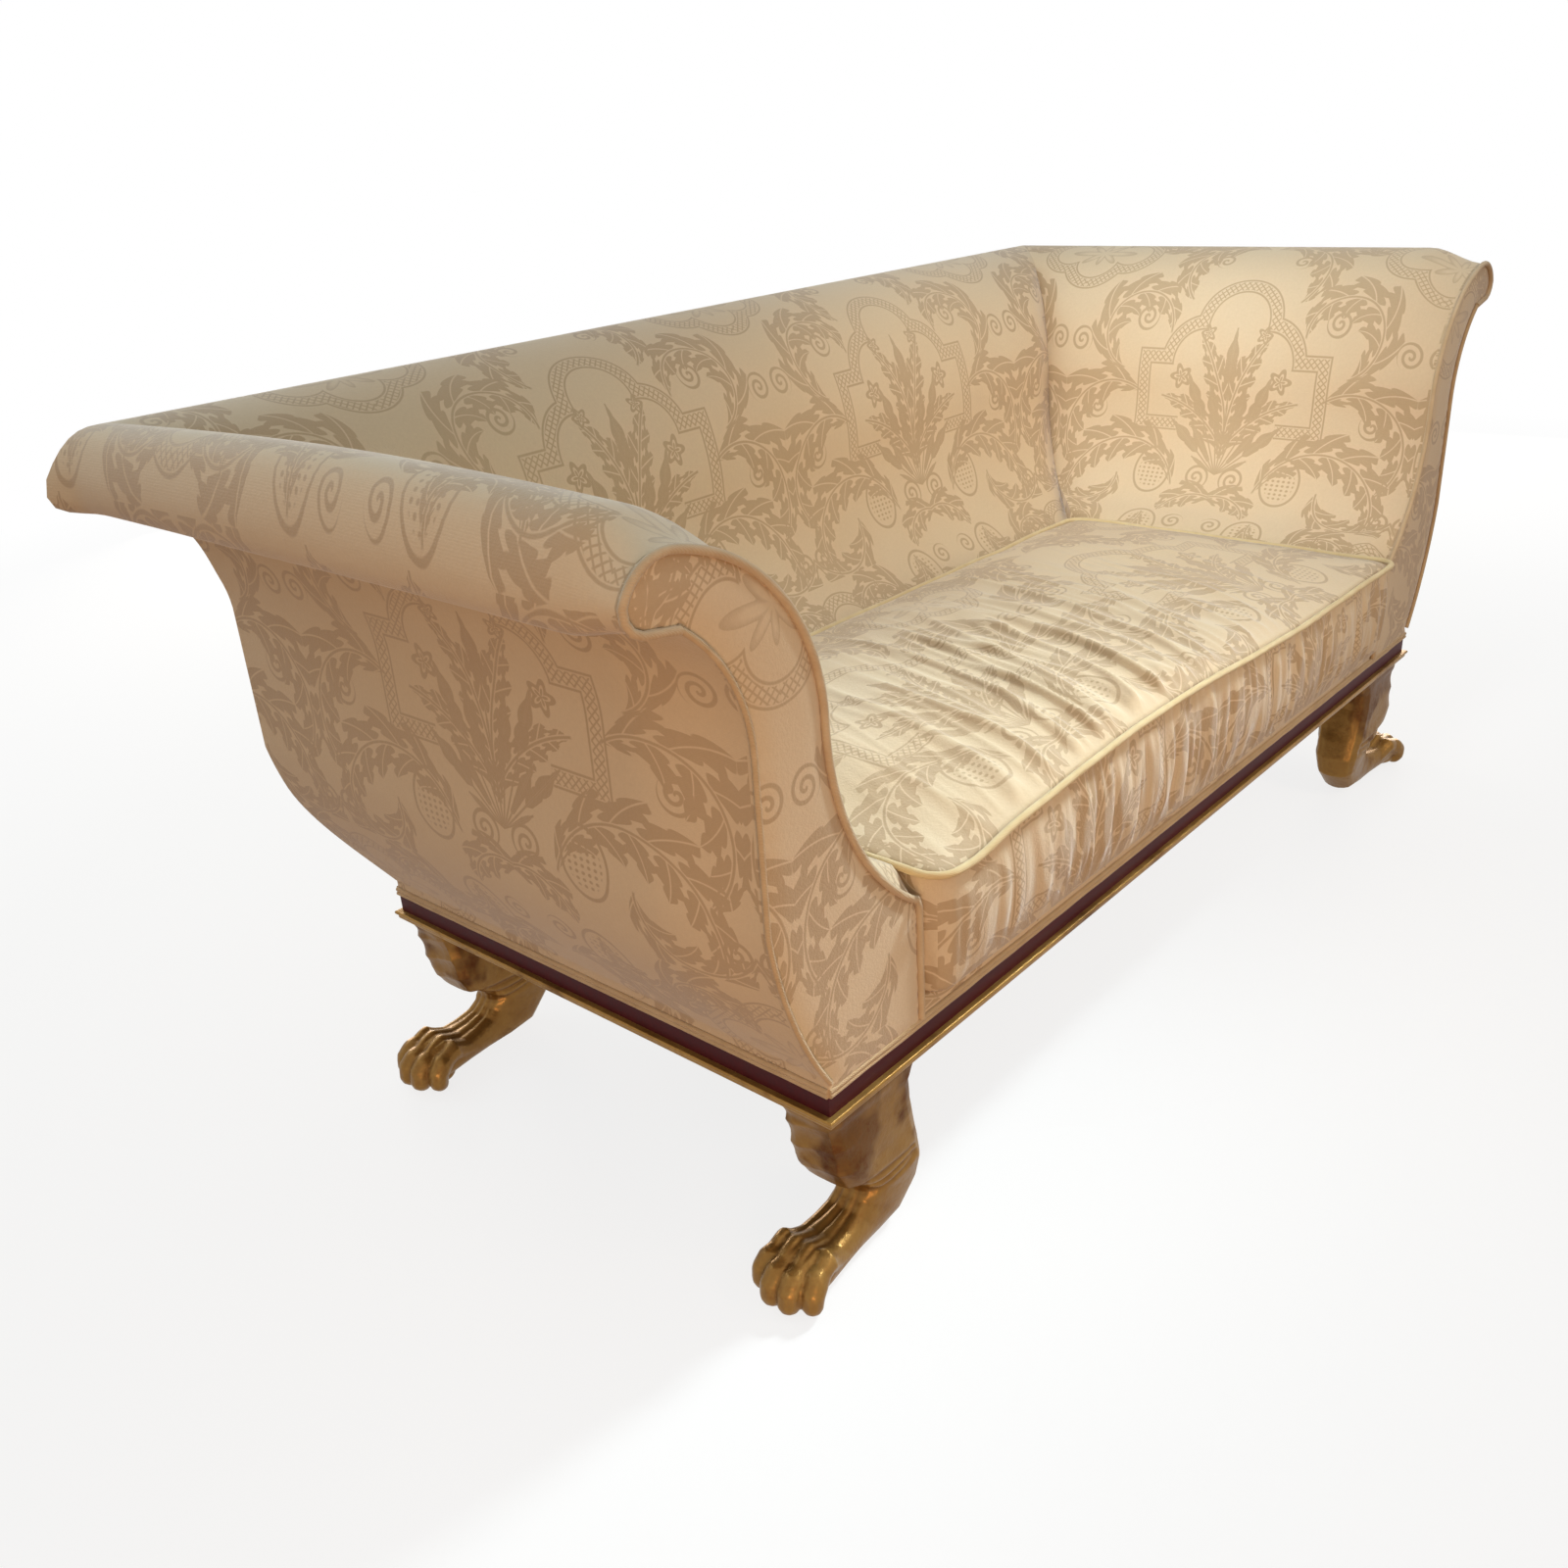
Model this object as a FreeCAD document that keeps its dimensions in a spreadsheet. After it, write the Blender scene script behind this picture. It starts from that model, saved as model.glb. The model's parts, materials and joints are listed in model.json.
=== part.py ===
import FreeCAD, Part
import Sketcher
import math
import os
import re

Vector = FreeCAD.Vector

doc = FreeCAD.newDocument("regency_sofa")
sheet = doc.addObject("Spreadsheet::Sheet", "Sizes")

# Driving sizes in millimetres
driving = [
    # seat frame: rails, the dark band on their face and the gilt moulding below it
    ("rail_length", 1600),
    ("rail_depth", 726),
    ("leg_height", 220),
    ("moulding_height", 12),
    ("moulding_reach", 8),
    ("moulding_toe", 3),
    ("reed_height", 5),
    ("reed_bulge", 2),
    ("band_height", 24),
    ("skin_thick", 5),
    ("rail_thick", 45),
    ("rail_rise", 8),
    ("tenon_length", 25),
    ("tenon_thick", 14),
    ("tenon_shoulder", 8),
    ("cross_rail_thick", 40),
    ("cross_rail_drop", 12),
    ("cross_rail_spacing", 520),
    ("block_leg", 80),
    ("dowel_radius", 9),
    ("dowel_depth", 30),
    ("dowel_spacing", 56),
    # seat: webbing, stuffed platform and the bottoming cloth
    ("web_thick", 2),
    ("web_width", 50),
    ("web_pitch", 130),
    ("web_inset", 10),
    ("platform_rise", 20),
    ("cover_thick", 1.5),
    ("cover_inset", 15),
    ("cover_gap", 2),
    ("gimp_height", 12),
    ("gimp_thick", 4),
    # section of the scrolled arms and back, measured out from the rail face and up from the band
    ("foot_reach", 155),
    ("foot_rise", 148),
    ("ledge_run", 14),
    ("ledge_rise", 17),
    ("ledge_bulge", 4),
    ("hollow_bulge", 30),
    ("waist_in", 21),
    ("waist_rise", 397),
    ("swan_bulge", 50),
    ("roll_rise", 604),
    ("roll_reach", 203),
    ("crown_in", 53),
    ("crown_bulge", 10),
    ("tip_drop", 32),
    ("lip_in", 17),
    ("lip_drop", 58),
    ("lip_bulge", 6),
    ("crease_in", 57),
    ("crease_drop", 65),
    ("neck_bulge", 20),
    ("flank_out", 74),
    ("flank_top", 395),
    ("flank_low", 224),
    ("belly_bulge", 12),
    ("roll_swell", 24),
    ("swell_run", 80),
    # beech frame inside the arms and back
    ("post_thick", 40),
    ("post_top", 56),
    ("post_gap", 5),
    ("top_rail_height", 26),
    ("stay_thick", 28),
    ("stay_height", 40),
    ("stay_rise", 36),
    # welts
    ("piping_radius", 4.5),
    ("piping_gap", 0.2),
    # loose squab cushion
    ("cushion_border", 150),
    ("cushion_crown", 27),
    ("cushion_clearance", 2),
    ("cushion_seat_gap", 0.4),
    ("cushion_overhang", 20),
    ("cushion_corner", 24),
    ("cushion_belly", 5),
    ("cushion_draw", 5),
    # carved legs
    ("thigh_length", 156),
    ("leg_width", 80),
    ("toe_length", 64),
    ("toe_radius", 16),
    ("toe_pitch", 17),
    ("toe_back", 14),
    ("toe_drop", 16),
    ("sole_height", 16),
    ("sole_length", 55),
    ("sole_round", 11),
]

# Levels and places that follow from the driving sizes
derived = [
    ("half_length", "rail_length / 2"),
    ("half_depth", "rail_depth / 2"),
    ("band_base", "leg_height + moulding_height"),
    ("band_top", "band_base + band_height"),
    ("rail_top", "band_top + rail_rise"),
    ("rail_height", "rail_top - leg_height"),
    ("rail_in", "skin_thick + rail_thick"),
    ("web_top", "rail_top + 2 * web_thick"),
    ("platform_top", "web_top + platform_rise"),
    ("front_reach", "half_depth + cushion_overhang + 2 * piping_radius + piping_gap"),
    ("back_reach", "half_depth + roll_reach"),
    ("seat_middle", "(front_reach - back_reach) / 2"),
    ("crease_out", "roll_reach - crease_in"),
    ("crease_level", "band_top + roll_rise - crease_drop"),
    ("chord_out", "crease_out - skin_thick - post_top"),
    ("cushion_base", "platform_top + cushion_seat_gap"),
    ("seam_level", "cushion_base + cushion_border"),
    ("dowel_out", "skin_thick + rail_thick / 2"),
]

for row, (alias, amount) in enumerate(driving + derived, start=1):
    sheet.set("A%d" % row, alias)
    sheet.setAlias("B%d" % row, alias)
    sheet.set("B%d" % row, str(amount) if (alias, amount) in driving else "=" + amount)
scratch_cell = "D1"
doc.recompute()


def size(alias):
    return float(sheet.get(alias))


def cells(formula):
    return re.sub(r"[a-z][a-z_]*", r"Sizes.\g<0>", formula)


def work_out(formula):
    sheet.set(scratch_cell, "=" + formula)
    sheet.recompute()
    amount = float(sheet.get(scratch_cell))
    sheet.clear(scratch_cell)
    return amount


# Plain members and boolean joints
sub_parts = []


def keep(item, label):
    item.Label = label
    sub_parts.append(item)
    return item


def box(name, corner, extent):
    item = doc.addObject("Part::Box", name)
    for side, formula in zip(("Length", "Width", "Height"), extent):
        item.setExpression(side, cells(formula))
    for axis, formula in zip("xyz", corner):
        item.setExpression("Placement.Base." + axis, cells(formula))
    return item


def cylinder(name, centre, radius, height):
    item = doc.addObject("Part::Cylinder", name)
    item.setExpression("Radius", cells(radius))
    item.setExpression("Height", cells(height))
    for axis, formula in zip("xyz", centre):
        item.setExpression("Placement.Base." + axis, cells(formula))
    return item


def joined(name, items):
    item = doc.addObject("Part::MultiFuse", name)
    item.Shapes = items
    item.Refine = True
    return item


def cut_out(name, base, tools):
    holes = tools[0]
    if len(tools) > 1:
        holes = doc.addObject("Part::Compound", name + "_holes")
        holes.Links = tools
    item = doc.addObject("Part::Cut", name)
    item.Base = base
    item.Tool = holes
    return item


def group(name, items):
    item = doc.addObject("Part::Compound", name)
    item.Links = items
    return item


# Sketched bodies
def origin_plane(body, role):
    return [feature for feature in body.Origin.OriginFeatures if feature.Role == role][0]


def sketched(body, role, name, corners):
    sketch = body.newObject("Sketcher::SketchObject", name)
    sketch.AttachmentSupport = [(origin_plane(body, role), "")]
    sketch.MapMode = "FlatFace"
    points = [Vector(work_out(across), work_out(up), 0) for across, up in corners]
    for index, point in enumerate(points):
        sketch.addGeometry(Part.LineSegment(point, points[(index + 1) % len(points)]))
    for index, (across, up) in enumerate(corners):
        following = (index + 1) % len(corners)
        sketch.addConstraint(Sketcher.Constraint("Coincident", index, 2, following, 1))
    for index, (across, up) in enumerate(corners):
        places = (("DistanceX", across, points[index].x), ("DistanceY", up, points[index].y))
        for kind, formula, amount in places:
            if amount == 0:
                continue
            place = sketch.addConstraint(Sketcher.Constraint(kind, -1, 1, index, 1, amount))
            sketch.setExpression("Constraints[%d]" % place, cells(formula))
        if points[index].x == 0:
            sketch.addConstraint(Sketcher.Constraint("PointOnObject", index, 1, -2))
        if points[index].y == 0:
            sketch.addConstraint(Sketcher.Constraint("PointOnObject", index, 1, -1))
    return sketch


def padded_body(label, role, corners, length, place, midplane=False):
    body = doc.addObject("PartDesign::Body", label)
    pad = body.newObject("PartDesign::Pad", label + "_pad")
    pad.Profile = sketched(body, role, label + "_outline", corners)
    pad.setExpression("Length", cells(length))
    pad.Midplane = midplane
    body.Tip = pad
    for axis, formula in zip("xyz", place):
        body.setExpression("Placement.Base." + axis, cells(formula))
    return body


def mitred_board(label, side, inner, outer, height, place):
    length_out = "half_length + " + outer
    length_in = "half_length - " + inner
    depth_out = "half_depth + " + outer
    depth_in = "half_depth - " + inner
    corners = {
        "front": [("-(%s)" % length_out, "-(%s)" % depth_out), (length_out, "-(%s)" % depth_out),
                  (length_in, "-(%s)" % depth_in), ("-(%s)" % length_in, "-(%s)" % depth_in)],
        "back": [(length_out, depth_out), ("-(%s)" % length_out, depth_out),
                 ("-(%s)" % length_in, depth_in), (length_in, depth_in)],
        "left": [("-(%s)" % length_out, depth_out), ("-(%s)" % length_out, "-(%s)" % depth_out),
                 ("-(%s)" % length_in, "-(%s)" % depth_in), ("-(%s)" % length_in, depth_in)],
        "right": [(length_out, "-(%s)" % depth_out), (length_out, depth_out),
                  (length_in, depth_in), (length_in, "-(%s)" % depth_in)],
    }
    return padded_body(label, "XY_Plane", corners[side], height, place)


# Seat rails, with mortises for the tenons of the end rails and cross rails and bores for the leg dowels
def seat_rail(label, sign):
    low = "seat_middle - half_depth + skin_thick" if sign < 0 else "seat_middle + half_depth - rail_in"
    blank = box(label + "_blank", ("-(half_length - skin_thick)", low, "leg_height"),
                ("rail_length - 2 * skin_thick", "rail_thick", "rail_height"))
    mortise_low = low + " + rail_thick - tenon_length" if sign < 0 else low
    tools = []
    for number, centre in enumerate(tenon_centres):
        tools.append(box("%s_mortise_%d" % (label, number),
                         (centre[0] + " - tenon_thick / 2", mortise_low, "leg_height + tenon_shoulder"),
                         ("tenon_thick", "tenon_length", centre[1])))
    for number, across in enumerate(dowel_places):
        tools.append(cylinder("%s_bore_%d" % (label, number),
                              (across, "seat_middle + (%d) * (half_depth - dowel_out)" % sign, "leg_height"),
                              "dowel_radius", "dowel_depth"))
    return keep(cut_out(label, blank, tools), label)


end_tenon = "rail_height - 2 * tenon_shoulder"
cross_tenon = "rail_height - cross_rail_drop - 2 * tenon_shoulder"
end_centre = "half_length - skin_thick - rail_thick / 2"
tenon_centres = [
    ("-(%s)" % end_centre, end_tenon),
    (end_centre, end_tenon),
    ("-cross_rail_spacing / 2", cross_tenon),
    ("cross_rail_spacing / 2", cross_tenon),
]
dowel_places = []
for end in (-1, 1):
    for offset in (-1, 1):
        leg_middle = "(%d) * (half_length - thigh_length / 2)" % end
        dowel_places.append(leg_middle + " + (%d) * dowel_spacing / 2" % offset)

seat_rail("seat_rail_front", -1)
seat_rail("seat_rail_back", 1)


def tenoned_rail(label, centre, thick, height, tenon):
    clear = "rail_depth - 2 * rail_in"
    start = "seat_middle - half_depth + rail_in"
    tongue = (centre + " - tenon_thick / 2", "leg_height + tenon_shoulder")
    pieces = [
        box(label + "_bar", (centre + " - %s / 2" % thick, start, "leg_height"), (thick, clear, height)),
        box(label + "_tenon_front", (tongue[0], start + " - tenon_length", tongue[1]),
            ("tenon_thick", "tenon_length", tenon)),
        box(label + "_tenon_back", (tongue[0], "seat_middle + half_depth - rail_in", tongue[1]),
            ("tenon_thick", "tenon_length", tenon)),
    ]
    return keep(joined(label, pieces), label)


tenoned_rail("seat_rail_left", "-(%s)" % end_centre, "rail_thick", "rail_height", end_tenon)
tenoned_rail("seat_rail_right", end_centre, "rail_thick", "rail_height", end_tenon)
cross_height = "rail_height - cross_rail_drop"
tenoned_rail("cross_rail_left", "-cross_rail_spacing / 2", "cross_rail_thick", cross_height, cross_tenon)
tenoned_rail("cross_rail_right", "cross_rail_spacing / 2", "cross_rail_thick", cross_height, cross_tenon)

# Glued triangular blocks that brace the four corners of the seat frame
blocks = []
for end in (-1, 1):
    for side in (-1, 1):
        edge = "(%d) * (half_length - rail_in)" % end
        face = "(%d) * (half_depth - rail_in)" % side
        corners = [
            (edge, face),
            (edge, face + " - (%d) * block_leg" % side),
            (edge + " - (%d) * block_leg" % end, face),
        ]
        name = "corner_block_%d" % len(blocks)
        place = ("0", "seat_middle", "leg_height")
        blocks.append(padded_body(name, "XY_Plane", corners, cross_height, place))
keep(group("corner_blocks", blocks), "corner_blocks")

# Dark band, mitred round the four sides of the rails
for side in ("front", "back", "left", "right"):
    place = ("0", "seat_middle", "band_base")
    keep(mitred_board("band_" + side, side, "skin_thick", "0", "band_height", place), "band_" + side)

# Webbing on the seat rails, the stuffed platform over it and the cloth tacked below
long_strap_count = 4
short_strap_count = 10
arm_strap_count = 4
bay_strap_count = 5
long_straps = []
for number in range(long_strap_count):
    place = number - (long_strap_count - 1) / 2
    middle = "seat_middle + (%g) * web_pitch - web_width / 2" % place
    long_straps.append(box("long_strap_%d" % number,
                           ("-(half_length - skin_thick - web_inset)", middle, "rail_top"),
                           ("rail_length - 2 * (skin_thick + web_inset)", "web_width", "web_thick")))
short_straps = []
for number in range(short_strap_count):
    place = number - (short_strap_count - 1) / 2
    middle = "(%g) * web_pitch - web_width / 2" % place
    front = "seat_middle - half_depth + skin_thick + web_inset"
    short_straps.append(box("short_strap_%d" % number, (middle, front, "rail_top + web_thick"),
                            ("web_width", "rail_depth - 2 * (skin_thick + web_inset)", "web_thick")))
keep(group("seat_webbing", long_straps + short_straps), "seat_webbing")

platform = [
    ("-half_depth", "band_top"),
    ("-half_depth + skin_thick", "band_top"),
    ("-half_depth + skin_thick", "web_top"),
    ("half_depth - foot_reach", "web_top"),
    ("half_depth - foot_reach", "platform_top"),
    ("-half_depth", "platform_top"),
]
keep(padded_body("seat_platform", "YZ_Plane", platform, "rail_length - 2 * foot_reach",
                 ("0", "seat_middle", "0"), midplane=True), "seat_platform")

cover_long = "half_length - skin_thick - cover_inset"
cover_deep = "half_depth - skin_thick - cover_inset"
notch_long = "half_length - thigh_length - cover_gap"
notch_deep = "half_depth - leg_width - cover_gap"
quarter = [(cover_long, notch_deep), (notch_long, notch_deep), (notch_long, cover_deep)]
minus = "-(%s)"
cover = list(quarter)
cover += [(minus % across, up) for across, up in reversed(quarter)]
cover += [(minus % across, minus % up) for across, up in quarter]
cover += [(across, minus % up) for across, up in reversed(quarter)]
keep(padded_body("dust_cover", "XY_Plane", cover, "cover_thick",
                 ("0", "seat_middle", "leg_height - cover_thick")), "dust_cover")

# Double welt along the lower edge of the covers
gimp_level = "band_top"
for side, sign in (("front", -1), ("back", 1)):
    low = "seat_middle - half_depth - gimp_thick" if sign < 0 else "seat_middle + half_depth"
    keep(box("gimp_" + side, ("-half_length - gimp_thick", low, gimp_level),
             ("rail_length + 2 * gimp_thick", "gimp_thick", "gimp_height")), "gimp_" + side)
for side, low in (("left", "-half_length - gimp_thick"), ("right", "half_length")):
    keep(box("gimp_" + side, (low, "seat_middle - half_depth", gimp_level),
             ("gimp_thick", "rail_depth", "gimp_height")), "gimp_" + side)


# Scroll section of the arms and back: points as (out from the rail face, up from the floor)
half_length = size("half_length")
half_depth = size("half_depth")
seat_middle = size("seat_middle")
band_top = size("band_top")
rail_top = size("rail_top")
skin = size("skin_thick")
crease_out = size("crease_out")
crease_level = size("crease_level")
chord_out = size("chord_out")
web = size("web_thick")
mitre_reach = size("roll_reach") + size("foot_reach")
mitre_height = 2 * (band_top + size("roll_rise"))
ring_sides = 8
arc_steps = 4


def chord(level):
    share = (level - rail_top) / (crease_level - rail_top)
    return -size("rail_in") + share * (chord_out + size("rail_in"))


def section_points(swell):
    reach = size("roll_reach")
    top = band_top + size("roll_rise")
    foot_top = band_top + size("foot_rise")
    rail_roof = crease_level + size("top_rail_height")
    points = {
        "foot_base": (-size("foot_reach"), size("web_top")),
        "foot_hem": (-size("foot_reach"), band_top),
        "foot": (-size("foot_reach"), foot_top),
        "ledge": (size("ledge_run") - size("foot_reach"), foot_top + size("ledge_rise")),
        "waist": (-size("waist_in"), band_top + size("waist_rise")),
        "crown": (reach - size("crown_in"), top + swell),
        "tip": (reach, top - size("tip_drop") + swell / 2),
        "lip": (reach - size("lip_in"), top - size("lip_drop")),
        "crease": (crease_out, crease_level),
        "flank_top": (size("flank_out"), band_top + size("flank_top")),
        "flank_low": (size("flank_out"), band_top + size("flank_low")),
        "skirt": (0, rail_top + size("gimp_height")),
        "hem": (0, band_top),
        "post_foot": (-skin, rail_top),
        "post_heel": (-size("rail_in"), rail_top),
        "post_head": (chord_out, crease_level),
        "rail_outer": (crease_out - skin, rail_roof),
        "rail_inner": (chord_out, rail_roof),
        "web_roof": (chord_out - web, rail_roof),
        "web_head": (chord_out - web, crease_level),
        "web_heel": (chord(size("web_top")) - web, size("web_top")),
    }
    for name in ("crease", "flank_top", "flank_low", "skirt", "hem"):
        points[name + "_under"] = (points[name][0] - skin, points[name][1])
    return points


def edge_between(start, finish, bulge, place):
    if bulge == 0:
        return Part.LineSegment(place(start), place(finish)).toShape()
    run = finish[0] - start[0]
    rise = finish[1] - start[1]
    length = math.hypot(run, rise)
    middle_out = (start[0] + finish[0]) / 2 - bulge * rise / length
    middle_up = (start[1] + finish[1]) / 2 + bulge * run / length
    return Part.Arc(place(start), place((middle_out, middle_up)), place(finish)).toShape()


def section_wire(route, points, place):
    edges = []
    for index, (name, bulge) in enumerate(route):
        following = route[(index + 1) % len(route)][0]
        edges.append(edge_between(points[name], points[following], bulge, place))
    return Part.Wire(edges)


inner_curve = [
    ("foot", size("ledge_bulge")),
    ("ledge", -size("hollow_bulge")),
    ("waist", size("swan_bulge")),
    ("crown", size("crown_bulge")),
    ("tip", size("lip_bulge")),
    ("lip", 0),
]
outer_curve_down = [
    ("crease", -size("neck_bulge")),
    ("flank_top", 0),
    ("flank_low", size("belly_bulge")),
    ("skirt", 0),
    ("hem", 0),
]
under_curve_up = [
    ("skirt_under", -size("belly_bulge")),
    ("flank_low_under", 0),
    ("flank_top_under", size("neck_bulge")),
    ("crease_under", 0),
]
pad_route = [("foot_base", 0)] + inner_curve + [
    ("crease", 0), ("crease_under", 0), ("rail_outer", 0), ("web_roof", 0), ("web_head", 0), ("web_heel", 0)]
facing_route = [("foot_hem", 0)] + inner_curve + outer_curve_down
panel_route = outer_curve_down + [("hem_under", 0)] + under_curve_up
post_route = [("post_heel", 0), ("post_foot", 0)] + under_curve_up + [("post_head", 0)]
top_rail_route = [("post_head", 0), ("crease_under", 0), ("rail_outer", 0), ("rail_inner", 0)]


def arm_place(end, along):
    return lambda point: Vector(end * (half_length + point[0]), along, point[1])


def back_place(along):
    return lambda point: Vector(along, half_depth + point[0], point[1])


def solid_between(wires):
    return Part.makeLoft(wires, True, True)


def arm_mitre(end):
    far = mitre_reach
    plan = [
        Vector(end * (half_length + far), half_depth + far, 0),
        Vector(end * (half_length - far), half_depth - far, 0),
        Vector(end * (half_length - far), -half_depth - far, 0),
        Vector(end * (half_length + far), -half_depth - far, 0),
    ]
    return Part.Face(Part.makePolygon(plan + plan[:1])).extrude(Vector(0, 0, mitre_height))


def back_mitre():
    far = mitre_reach
    plan = [
        Vector(-half_length - far, half_depth + far, 0),
        Vector(half_length + far, half_depth + far, 0),
        Vector(half_length - far, half_depth - far, 0),
        Vector(far - half_length, half_depth - far, 0),
    ]
    return Part.Face(Part.makePolygon(plan + plan[:1])).extrude(Vector(0, 0, mitre_height))


def feature(label, shape):
    item = doc.addObject("Part::Feature", label)
    item.Shape = shape
    item.Placement = FreeCAD.Placement(Vector(0, seat_middle, 0), FreeCAD.Rotation())
    return keep(item, label)


def single_solid(shape):
    return shape.Solids[0] if len(shape.Solids) == 1 else shape


def swept_arm(route, end, start, finish, swell):
    flat = section_points(0)
    full = section_points(swell)
    wires = [section_wire(route, flat, arm_place(end, start))]
    if swell:
        wires.append(section_wire(route, full, arm_place(end, start + size("swell_run"))))
    wires.append(section_wire(route, full, arm_place(end, finish)))
    return solid_between(wires)


def swept_back(route, start, finish, swell):
    full = section_points(swell)
    return solid_between([section_wire(route, full, back_place(along)) for along in (start, finish)])


def tube(path, radius, normal):
    closed = path.isClosed()
    centres = []
    for edge in path.Edges:
        count = 2 if edge.Curve.TypeId == "Part::GeomLine" else arc_steps + 1
        steps = edge.discretize(count)
        centres += steps[:-1]
    if not closed:
        centres.append(steps[-1])
    rings = []
    for index, centre in enumerate(centres):
        before = centres[index - 1] if closed or index else centre
        after = centres[(index + 1) % len(centres)] if closed or index + 1 < len(centres) else centre
        across = (after - before).normalize().cross(normal)
        corners = []
        for step in range(ring_sides):
            turn = 2 * math.pi * step / ring_sides
            corners.append(centre + normal * (radius * math.cos(turn)) + across * (radius * math.sin(turn)))
        rings.append(Part.makePolygon(corners + corners[:1]))
    return Part.makeLoft(rings, True, True, closed)


front_face = -half_depth
front_skin = front_face + skin
arm_far = half_depth + mitre_reach
back_far = half_length + mitre_reach
post = size("post_thick")
swell = size("roll_swell")
back_post_end = half_depth - size("rail_in") - size("post_gap")
side_post_end = half_length - size("rail_in") - size("post_gap")
stay_low = rail_top + size("stay_rise")
stay_high = stay_low + size("stay_height")
stay = size("stay_thick")
web_width = size("web_width")


def stay_wire(place):
    corners = [(chord(stay_low), stay_low), (chord(stay_low) + stay, stay_low),
               (chord(stay_high) + stay, stay_high), (chord(stay_high), stay_high)]
    return Part.makePolygon([place(corner) for corner in corners + corners[:1]])


def web_wire(place):
    points = section_points(0)
    corners = [(chord(stay_low) - web, stay_low), (chord(stay_low), stay_low), points["post_head"],
               points["rail_inner"], points["web_roof"], points["web_head"]]
    return Part.makePolygon([place(corner) for corner in corners + corners[:1]])


def strap_starts(low, high, count):
    gap = (high - low - count * web_width) / (count + 1)
    return [low + gap + number * (web_width + gap) for number in range(count)]


# Gilt moulding under the band: a reed over an ovolo, run between the mitre planes of two corners
moulding_foot = size("leg_height")
moulding_top = size("band_base")
reed_foot = moulding_top - size("reed_height")
reed_out = size("moulding_reach") - size("reed_bulge")
moulding_points = {
    "heel": (-skin, moulding_foot),
    "toe": (size("moulding_toe"), moulding_foot),
    "quirk": (size("moulding_toe"), reed_foot),
    "reed_foot": (reed_out, reed_foot),
    "reed_top": (reed_out, moulding_top),
    "nape": (-skin, moulding_top),
}
moulding_route = [("heel", 0), ("toe", -size("reed_bulge")), ("quirk", 0), ("reed_foot", -size("reed_bulge")),
                  ("reed_top", 0), ("nape", 0)]


def corner_place(end, side):
    return lambda point: Vector(end * (half_length + point[0]), side * (half_depth + point[0]), point[1])


moulding_ends = {
    "front": ((-1, -1), (1, -1)),
    "back": ((-1, 1), (1, 1)),
    "left": ((-1, -1), (-1, 1)),
    "right": ((1, -1), (1, 1)),
}
for side, ends in moulding_ends.items():
    wires = [section_wire(moulding_route, moulding_points, corner_place(*end)) for end in ends]
    feature("moulding_" + side, solid_between(wires))

# Arms: sawn posts, top rail, stay rail, webbing, stuffed inside arm, outside panel, facing and welt
for end, side in ((-1, "left"), (1, "right")):
    for name, start in (("front", front_skin), ("back", back_post_end - post)):
        feature("arm_post_%s_%s" % (name, side), swept_arm(post_route, end, start, start + post, 0))
    top_rail = swept_arm(top_rail_route, end, front_skin, arm_far, 0)
    feature("arm_top_rail_" + side, single_solid(top_rail.common(arm_mitre(end))))
    bay = (front_skin + post, back_post_end - post)
    feature("arm_stay_rail_" + side, solid_between([stay_wire(arm_place(end, along)) for along in bay]))
    straps = []
    for start in strap_starts(bay[0], bay[1], arm_strap_count):
        ends = (start, start + web_width)
        straps.append(solid_between([web_wire(arm_place(end, along)) for along in ends]))
    feature("arm_webbing_" + side, Part.makeCompound(straps))
    stuffed = swept_arm(pad_route, end, front_skin, arm_far, swell)
    feature("inside_arm_" + side, single_solid(stuffed.common(arm_mitre(end))))
    panel = swept_arm(panel_route, end, front_skin, arm_far, 0)
    feature("outside_arm_" + side, single_solid(panel.common(arm_mitre(end))))
    feature("arm_facing_" + side, swept_arm(facing_route, end, front_face, front_skin, 0))
    welt = front_face - size("piping_radius") - size("piping_gap")
    names = [("foot_hem", 0)] + inner_curve[:-1]
    flat = section_points(0)
    flat["foot_hem"] = (flat["foot_hem"][0], band_top + size("gimp_height"))
    edges = []
    for index, (name, bulge) in enumerate(names):
        following = (names + [("lip", 0)])[index + 1][0]
        edges.append(edge_between(flat[name], flat[following], bulge, arm_place(end, welt)))
    feature("arm_piping_" + side, tube(Part.Wire(edges), size("piping_radius"), Vector(0, 1, 0)))

# Back: the same section run along the length and mitred into the arms
back_posts = (("left", -side_post_end), ("centre", -post / 2), ("right", side_post_end - post))
for name, start in back_posts:
    feature("back_post_" + name, swept_back(post_route, start, start + post, 0))
top_rail = swept_back(top_rail_route, -back_far, back_far, 0)
feature("back_top_rail", single_solid(top_rail.common(back_mitre())))
bays = ((post - side_post_end, -post / 2), (post / 2, side_post_end - post))
stays = []
straps = []
for bay in bays:
    stays.append(solid_between([stay_wire(back_place(along)) for along in bay]))
    for start in strap_starts(bay[0], bay[1], bay_strap_count):
        straps.append(solid_between([web_wire(back_place(along)) for along in (start, start + web_width)]))
feature("back_stay_rails", Part.makeCompound(stays))
feature("back_webbing", Part.makeCompound(straps))
feature("inside_back", single_solid(swept_back(pad_route, -back_far, back_far, swell).common(back_mitre())))
feature("outside_back", single_solid(swept_back(panel_route, -back_far, back_far, 0).common(back_mitre())))

# Loose squab: drawn-in sides between the corners, a fuller belly and a crowned top
cushion_half_length = half_length - size("foot_reach") - size("piping_radius") - size("cushion_clearance")
cushion_back = half_depth - size("foot_reach") - size("cushion_clearance")
cushion_front = half_depth + size("cushion_overhang") + size("cushion_belly")


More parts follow.
